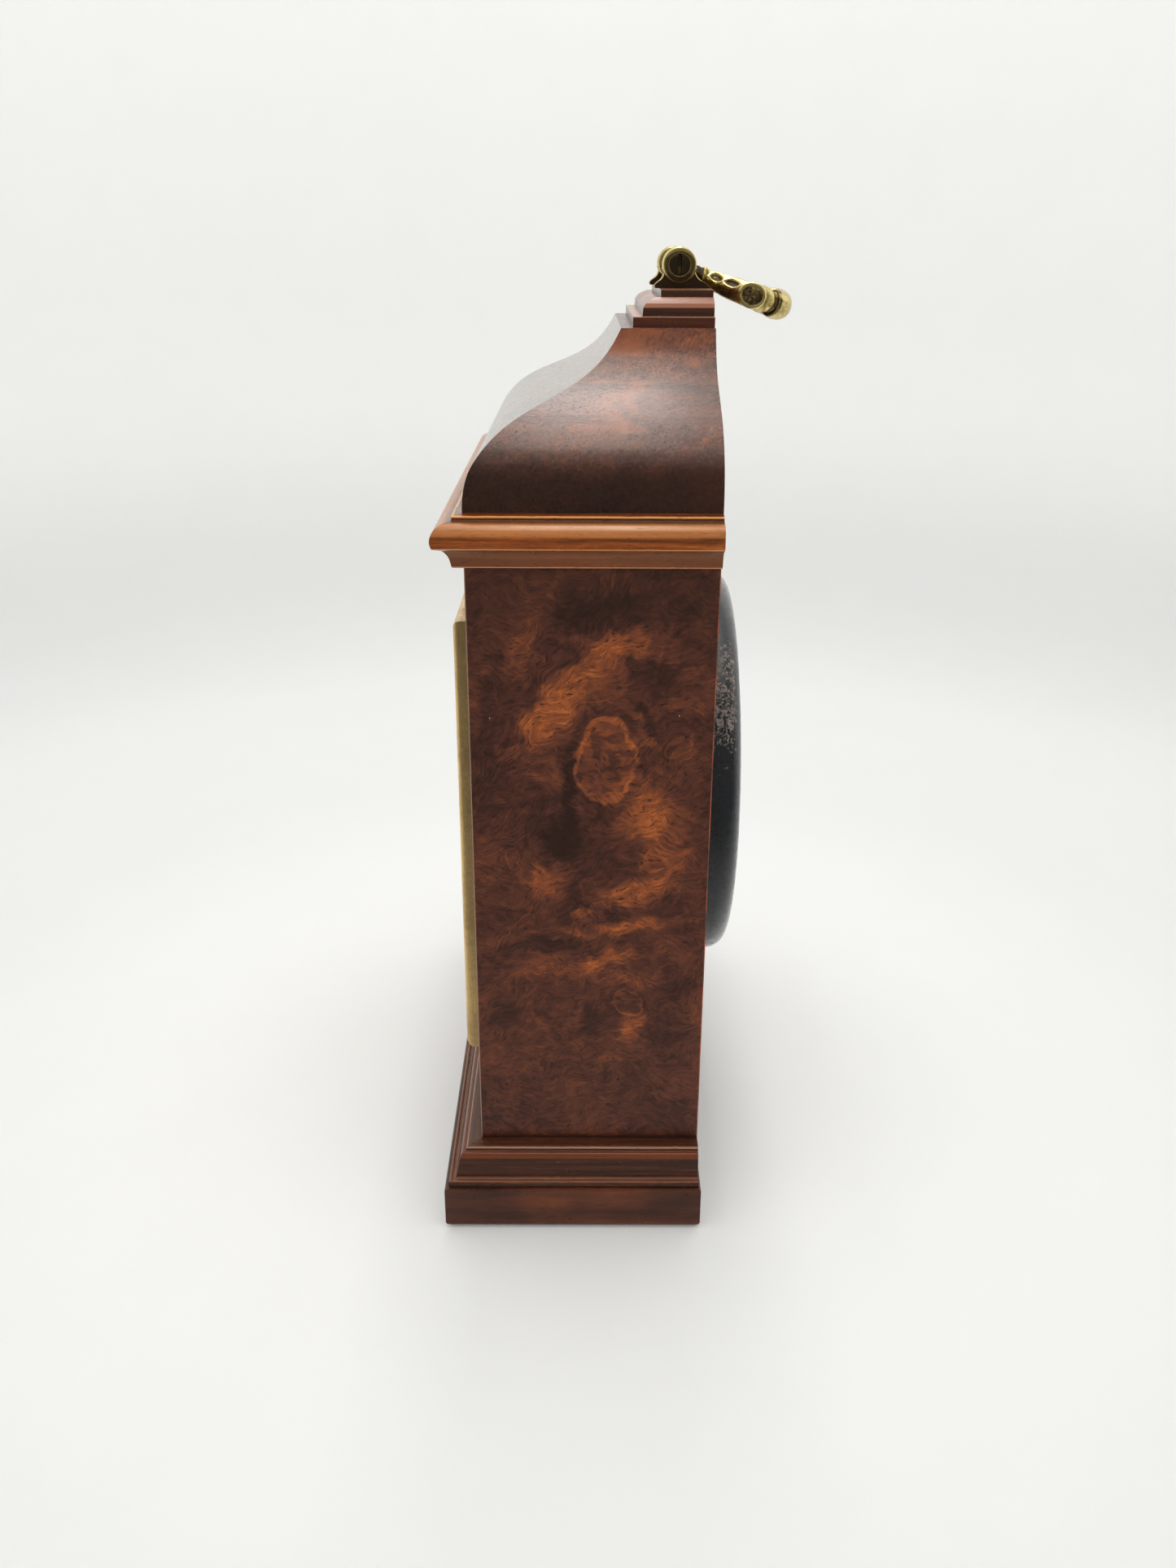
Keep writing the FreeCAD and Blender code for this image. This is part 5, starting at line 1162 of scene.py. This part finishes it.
def numeral(mesh, degrees, word):
    left = -sum(LETTERS[letter][0] for letter in word) / 2
    for letter in word:
        width, strokes, serifs = LETTERS[letter]
        middle = left + width / 2
        left += width
        for number, (x0, z0, x1, z1, thick) in enumerate(strokes):
            start, end = middle + x0, middle + x1
            corners = [(start - thick / 2, z0), (start + thick / 2, z0),
                       (end + thick / 2, z1), (end - thick / 2, z1)]
            # crossing strokes differ in height so their faces don't coincide
            dial_slab(mesh, degrees, NUMERAL_RADIUS, corners, proud=0.003 * number)
        for serif_x, z in serifs:
            x = middle + serif_x
            corners = [(x - 1.45, z - 0.14), (x + 1.45, z - 0.14),
                       (x + 1.3, z + 0.18), (x - 1.3, z + 0.18)]
            dial_slab(mesh, degrees, NUMERAL_RADIUS, corners, proud=0.008)


def dial_markings():
    mesh = bmesh.new()
    for hour, word in enumerate(NUMERALS):
        numeral(mesh, 30 * hour, word)
    for minute in range(60):
        half = (0.85 if minute % 5 == 0 else 0.32) / 2
        dial_slab(mesh, 6 * minute, MINUTE_RADIUS,
                  [(-half, -1.25), (half, -1.25), (half, 1.25), (-half, 1.25)])
    for hour in range(12):          # lozenges between the numerals
        dial_slab(mesh, 30 * hour + 15, NUMERAL_RADIUS,
                  [(0, -3.0), (0.75, 0), (0, 3.0), (-0.75, 0)])
    track_face = MARK_FACE - 0.004
    for radius, width in TRACKS:
        outer = radius + width
        lathe(mesh, 180, DIAL_Z, [(radius, MARK_BACK), (radius, track_face),
                                  (outer, track_face), (outer, MARK_BACK)])
    add_piece(mesh, "dial_markings", "case", WAX)


# =====================================================================
# Dial: corner castings and turned rings
# =====================================================================
# Stems drawn twice in each corner, mirrored about its diagonal:
# (along, across) places from the dial centre, radii, y of the centre line
PAIRED_STEMS = [
    ([(63, 63), (62.5, 69), (57, 73.5), (49, 75.2), (42.5, 75.6), (39.2, 73.8), (39.8, 71.2),
      (42.4, 71.4), (42.2, 73.2)],
     [1.3, 1.9, 1.7, 1.35, 1.1, 1.0, 0.85, 0.7, 0.5], -34.3),
    ([(60, 72), (57.5, 69.2), (54.6, 68.6), (52.6, 70.2), (53.6, 71.9), (55.2, 71.2)],
     [0.7, 1.1, 1.0, 0.85, 0.65, 0.4], -34.25),
    ([(52.5, 74.4), (50.2, 71.6), (47.6, 70.6), (46.0, 71.8)], [0.5, 1.15, 0.95, 0.3], -34.25),
    ([(66.5, 66.5), (69.5, 69.0), (70.4, 73.5), (68.6, 77.0)], [0.9, 1.6, 1.15, 0.25], -34.25),
    ([(61.8, 66.5), (64.4, 71.5), (64.0, 76.0)], [0.6, 1.5, 0.25], -34.22)]
# Stems on the diagonal: distances along both axes, radii, y, flatness
DIAGONAL_STEMS = [([59, 64, 69, 76.4], [0.5, 2.3, 2.7, 0.3], -34.35, 0.6),
                  ([57.6, 58.9, 60.2], [0.15, 1.1, 0.15], -34.3, 0.75)]
CASTING_BACK = -34.04               # y of the flat backs on the dial plate
STEM_AROUND = 14


def stem(mesh, places, radii, y, flat=0.75):
    """A tapering stem lying on the plate, through (x, z) places."""
    line = curve_through([(*place, radius) for place, radius in zip(places, radii)], 7)
    rings = []
    for i, (x, z, radius) in enumerate(line):
        before, after = line[max(i - 1, 0)], line[min(i + 1, len(line) - 1)]
        tangent = Vector((after[0] - before[0], after[1] - before[1]))
        tangent.normalize()
        side_x, side_z = -tangent.y, tangent.x
        ring = []
        for k in range(STEM_AROUND):
            angle = 2 * math.pi * k / STEM_AROUND
            ring.append(mesh.verts.new((x + side_x * radius * math.cos(angle),
                                        y - abs(radius) * flat * math.sin(angle) - 0.02,
                                        z + side_z * radius * math.cos(angle))))
        rings.append(ring)
    tube(mesh, rings)


def corner_casting(right, top, corner):
    """right and top are 1 or -1 and say which corner."""
    mesh = bmesh.new()
    for mirrored in (False, True):
        for places, radii, y in PAIRED_STEMS:
            if mirrored:
                places = [place[::-1] for place in places]
            stem(mesh, [(x * right, DIAL_Z + z * top) for x, z in places], radii, y)
    for reaches, radii, y, flat in DIAGONAL_STEMS:
        stem(mesh, [(reach * right, DIAL_Z + reach * top) for reach in reaches], radii, y, flat)
    for vert in mesh.verts:
        vert.co.y = min(vert.co.y, CASTING_BACK)
    add_piece(mesh, "corner_casting_" + corner, "case", CORNER_BRASS, smooth=50)


def dial_ring(name, centre_z, outline):
    mesh = bmesh.new()
    lathe(mesh, 96, centre_z, outline)
    add_piece(mesh, name, "case", TURNED_BRASS, smooth=35)


dial_markings()
for right_sign, top_sign, label in ((1, 1, "ne"), (-1, 1, "nw"), (1, -1, "se"), (-1, -1, "sw")):
    corner_casting(right_sign, top_sign, label)
# outlines of (radius, y)
dial_ring("winding_hole_collet", 112.0, [
    (5.05, -33.9), (5.05, -34.5), (5.35, -34.95), (5.9, -35.1), (6.6, -34.9), (7.1, -34.4),
    (7.2, -34.02)])
dial_ring("dial_centre_boss", DIAL_Z, [
    (10.2, -34.02), (10.3, -34.5), (10.9, -34.75), (11.7, -34.6), (12.1, -34.3),
    (12.3, -34.02)])


# =====================================================================
# Stage, lights and camera, in metres
# =====================================================================
SWEEP_STEPS = 96
FLOOR_RADIUS, BEND_RADIUS, WALL_HEIGHT = 0.64, 0.30, 1.3


def paper():
    """Pale paper, shaded under the clock's surroundings and where the floor turns up."""
    graph = Graph("pale_paper")
    x, y, z = graph.axes
    cloud = graph.pos.noise(0.02, detail=3.0)
    fibre = graph.pos.noise(1.5, detail=3.0, rough=0.6)
    color = cloud.blend((0.80, 0.80, 0.785), (0.82, 0.82, 0.81))
    # the camera's side is darker, but only as seen in reflections
    reflected = graph.source("LightPath", "Is Glossy Ray")
    dim = x.step(-150.0, 420.0) * reflected * 0.80
    far = distance(x, y)
    shade = (far.step(140.0, 380.0) * z.step(20.0, 200.0, low=0.115, high=0.0)
             + far.step(560.0, 860.0) * z.step(60.0, 330.0, low=0.125, high=0.0))
    color = shade.blend(color, (0.02, 0.05, 0.04))
    color = dim.blend(color, (0.03, 0.03, 0.03))
    # a faint glow keeps the shadows soft
    graph.surface(color=color, rough=0.75 + (fibre - 0.5) * 0.1, spec=0.15, glow=color,
                  glow_strength=0.085)
    return graph.material


def studio_sweep():
    """A round sweep: level floor that turns up into a wall."""
    outline = [(0.02 + 0.62 * i / 14, 0.0) for i in range(15)]
    for i in range(1, 15):
        angle = math.pi / 2 * i / 14
        outline.append((FLOOR_RADIUS + BEND_RADIUS * math.sin(angle),
                        BEND_RADIUS * (1 - math.cos(angle))))
    outline += [(FLOOR_RADIUS + BEND_RADIUS, BEND_RADIUS + WALL_HEIGHT * i / 8)
                for i in range(1, 9)]
    mesh = bmesh.new()
    centre = mesh.verts.new((0, 0, 0))
    rings = []
    for radius, z in outline:
        rings.append([mesh.verts.new((radius * math.cos(2 * math.pi * k / SWEEP_STEPS),
                                      radius * math.sin(2 * math.pi * k / SWEEP_STEPS), z))
                      for k in range(SWEEP_STEPS)])
    for k in range(SWEEP_STEPS):
        mesh.faces.new((centre, rings[0][k], rings[0][(k + 1) % SWEEP_STEPS]))
    for inner, outer in zip(rings, rings[1:]):
        for k in range(SWEEP_STEPS):
            after = (k + 1) % SWEEP_STEPS
            mesh.faces.new((inner[k], outer[k], outer[after], inner[after]))
    for face in mesh.faces:
        face.smooth = True
    data = bpy.data.meshes.new("studio_sweep")
    mesh.to_mesh(data)
    mesh.free()
    sweep = bpy.data.objects.new("studio_sweep", data)
    bpy.context.scene.collection.objects.link(sweep)
    data.materials.append(paper())


def area_light(name, place, target, size, power, color, shape, **more):
    data = bpy.data.lights.new(name, "AREA")
    data.energy = power
    data.size = size
    data.color = color
    data.shape = shape
    for key, value in more.items():
        setattr(data, key, value)
    light = bpy.data.objects.new(name, data)
    bpy.context.scene.collection.objects.link(light)
    light.location = place
    aim = Vector(target) - Vector(place)
    light.rotation_euler = aim.to_track_quat("-Z", "Y").to_euler()
    light.visible_camera = False


def world():
    soft_white = bpy.data.worlds.new("soft_white")
    bpy.context.scene.world = soft_white
    soft_white.use_nodes = True
    background = soft_white.node_tree.nodes["Background"]
    background.inputs["Color"].default_value = (0.97, 0.985, 1.0, 1.0)
    background.inputs["Strength"].default_value = 0.34


def camera():
    """Looks from the right side (+x), down on to the clock."""
    data = bpy.data.cameras.new("photo_camera")
    view = bpy.data.objects.new("photo_camera", data)
    scene = bpy.context.scene
    scene.collection.objects.link(view)
    scene.camera = view
    data.sensor_fit = "AUTO"
    data.sensor_width = 36.0
    data.lens = 30.510327
    data.clip_start = 0.01
    data.clip_end = 20.0
    pitch, yaw, roll = math.radians(22.35), -0.0036, 0.0046     # radians
    aim = Vector((-math.cos(pitch) * math.cos(yaw), -math.cos(pitch) * math.sin(yaw),
                  -math.sin(pitch)))
    view.location = (0.5269, -0.0027, 0.3570)
    view.rotation_mode = "QUATERNION"
    view.rotation_quaternion = (aim.to_track_quat("-Z", "Y")
                                @ Euler((0, 0, roll)).to_quaternion())


studio_sweep()
area_light("ceiling", place=(0.0, 0.0, 1.36), target=(0.0, 0.0, 0.0), size=1.80, power=4.6,
           color=(1.0, 0.997, 0.99), shape="DISK")
area_light("ceiling_middle", place=(0.0, 0.0, 1.35), target=(0.0, 0.0, 0.0), size=1.05,
           power=1.1, color=(1.0, 0.997, 0.99), shape="DISK")
area_light("strip", place=(-0.30, 0.0, 1.34), target=(-0.05, 0.0, 0.30), size=0.20, power=6.0,
           color=(1.0, 0.995, 0.985), shape="RECTANGLE", size_y=1.5)
world()
bpy.context.scene.view_settings.view_transform = "Standard"
bpy.context.scene.view_settings.look = "None"
camera()
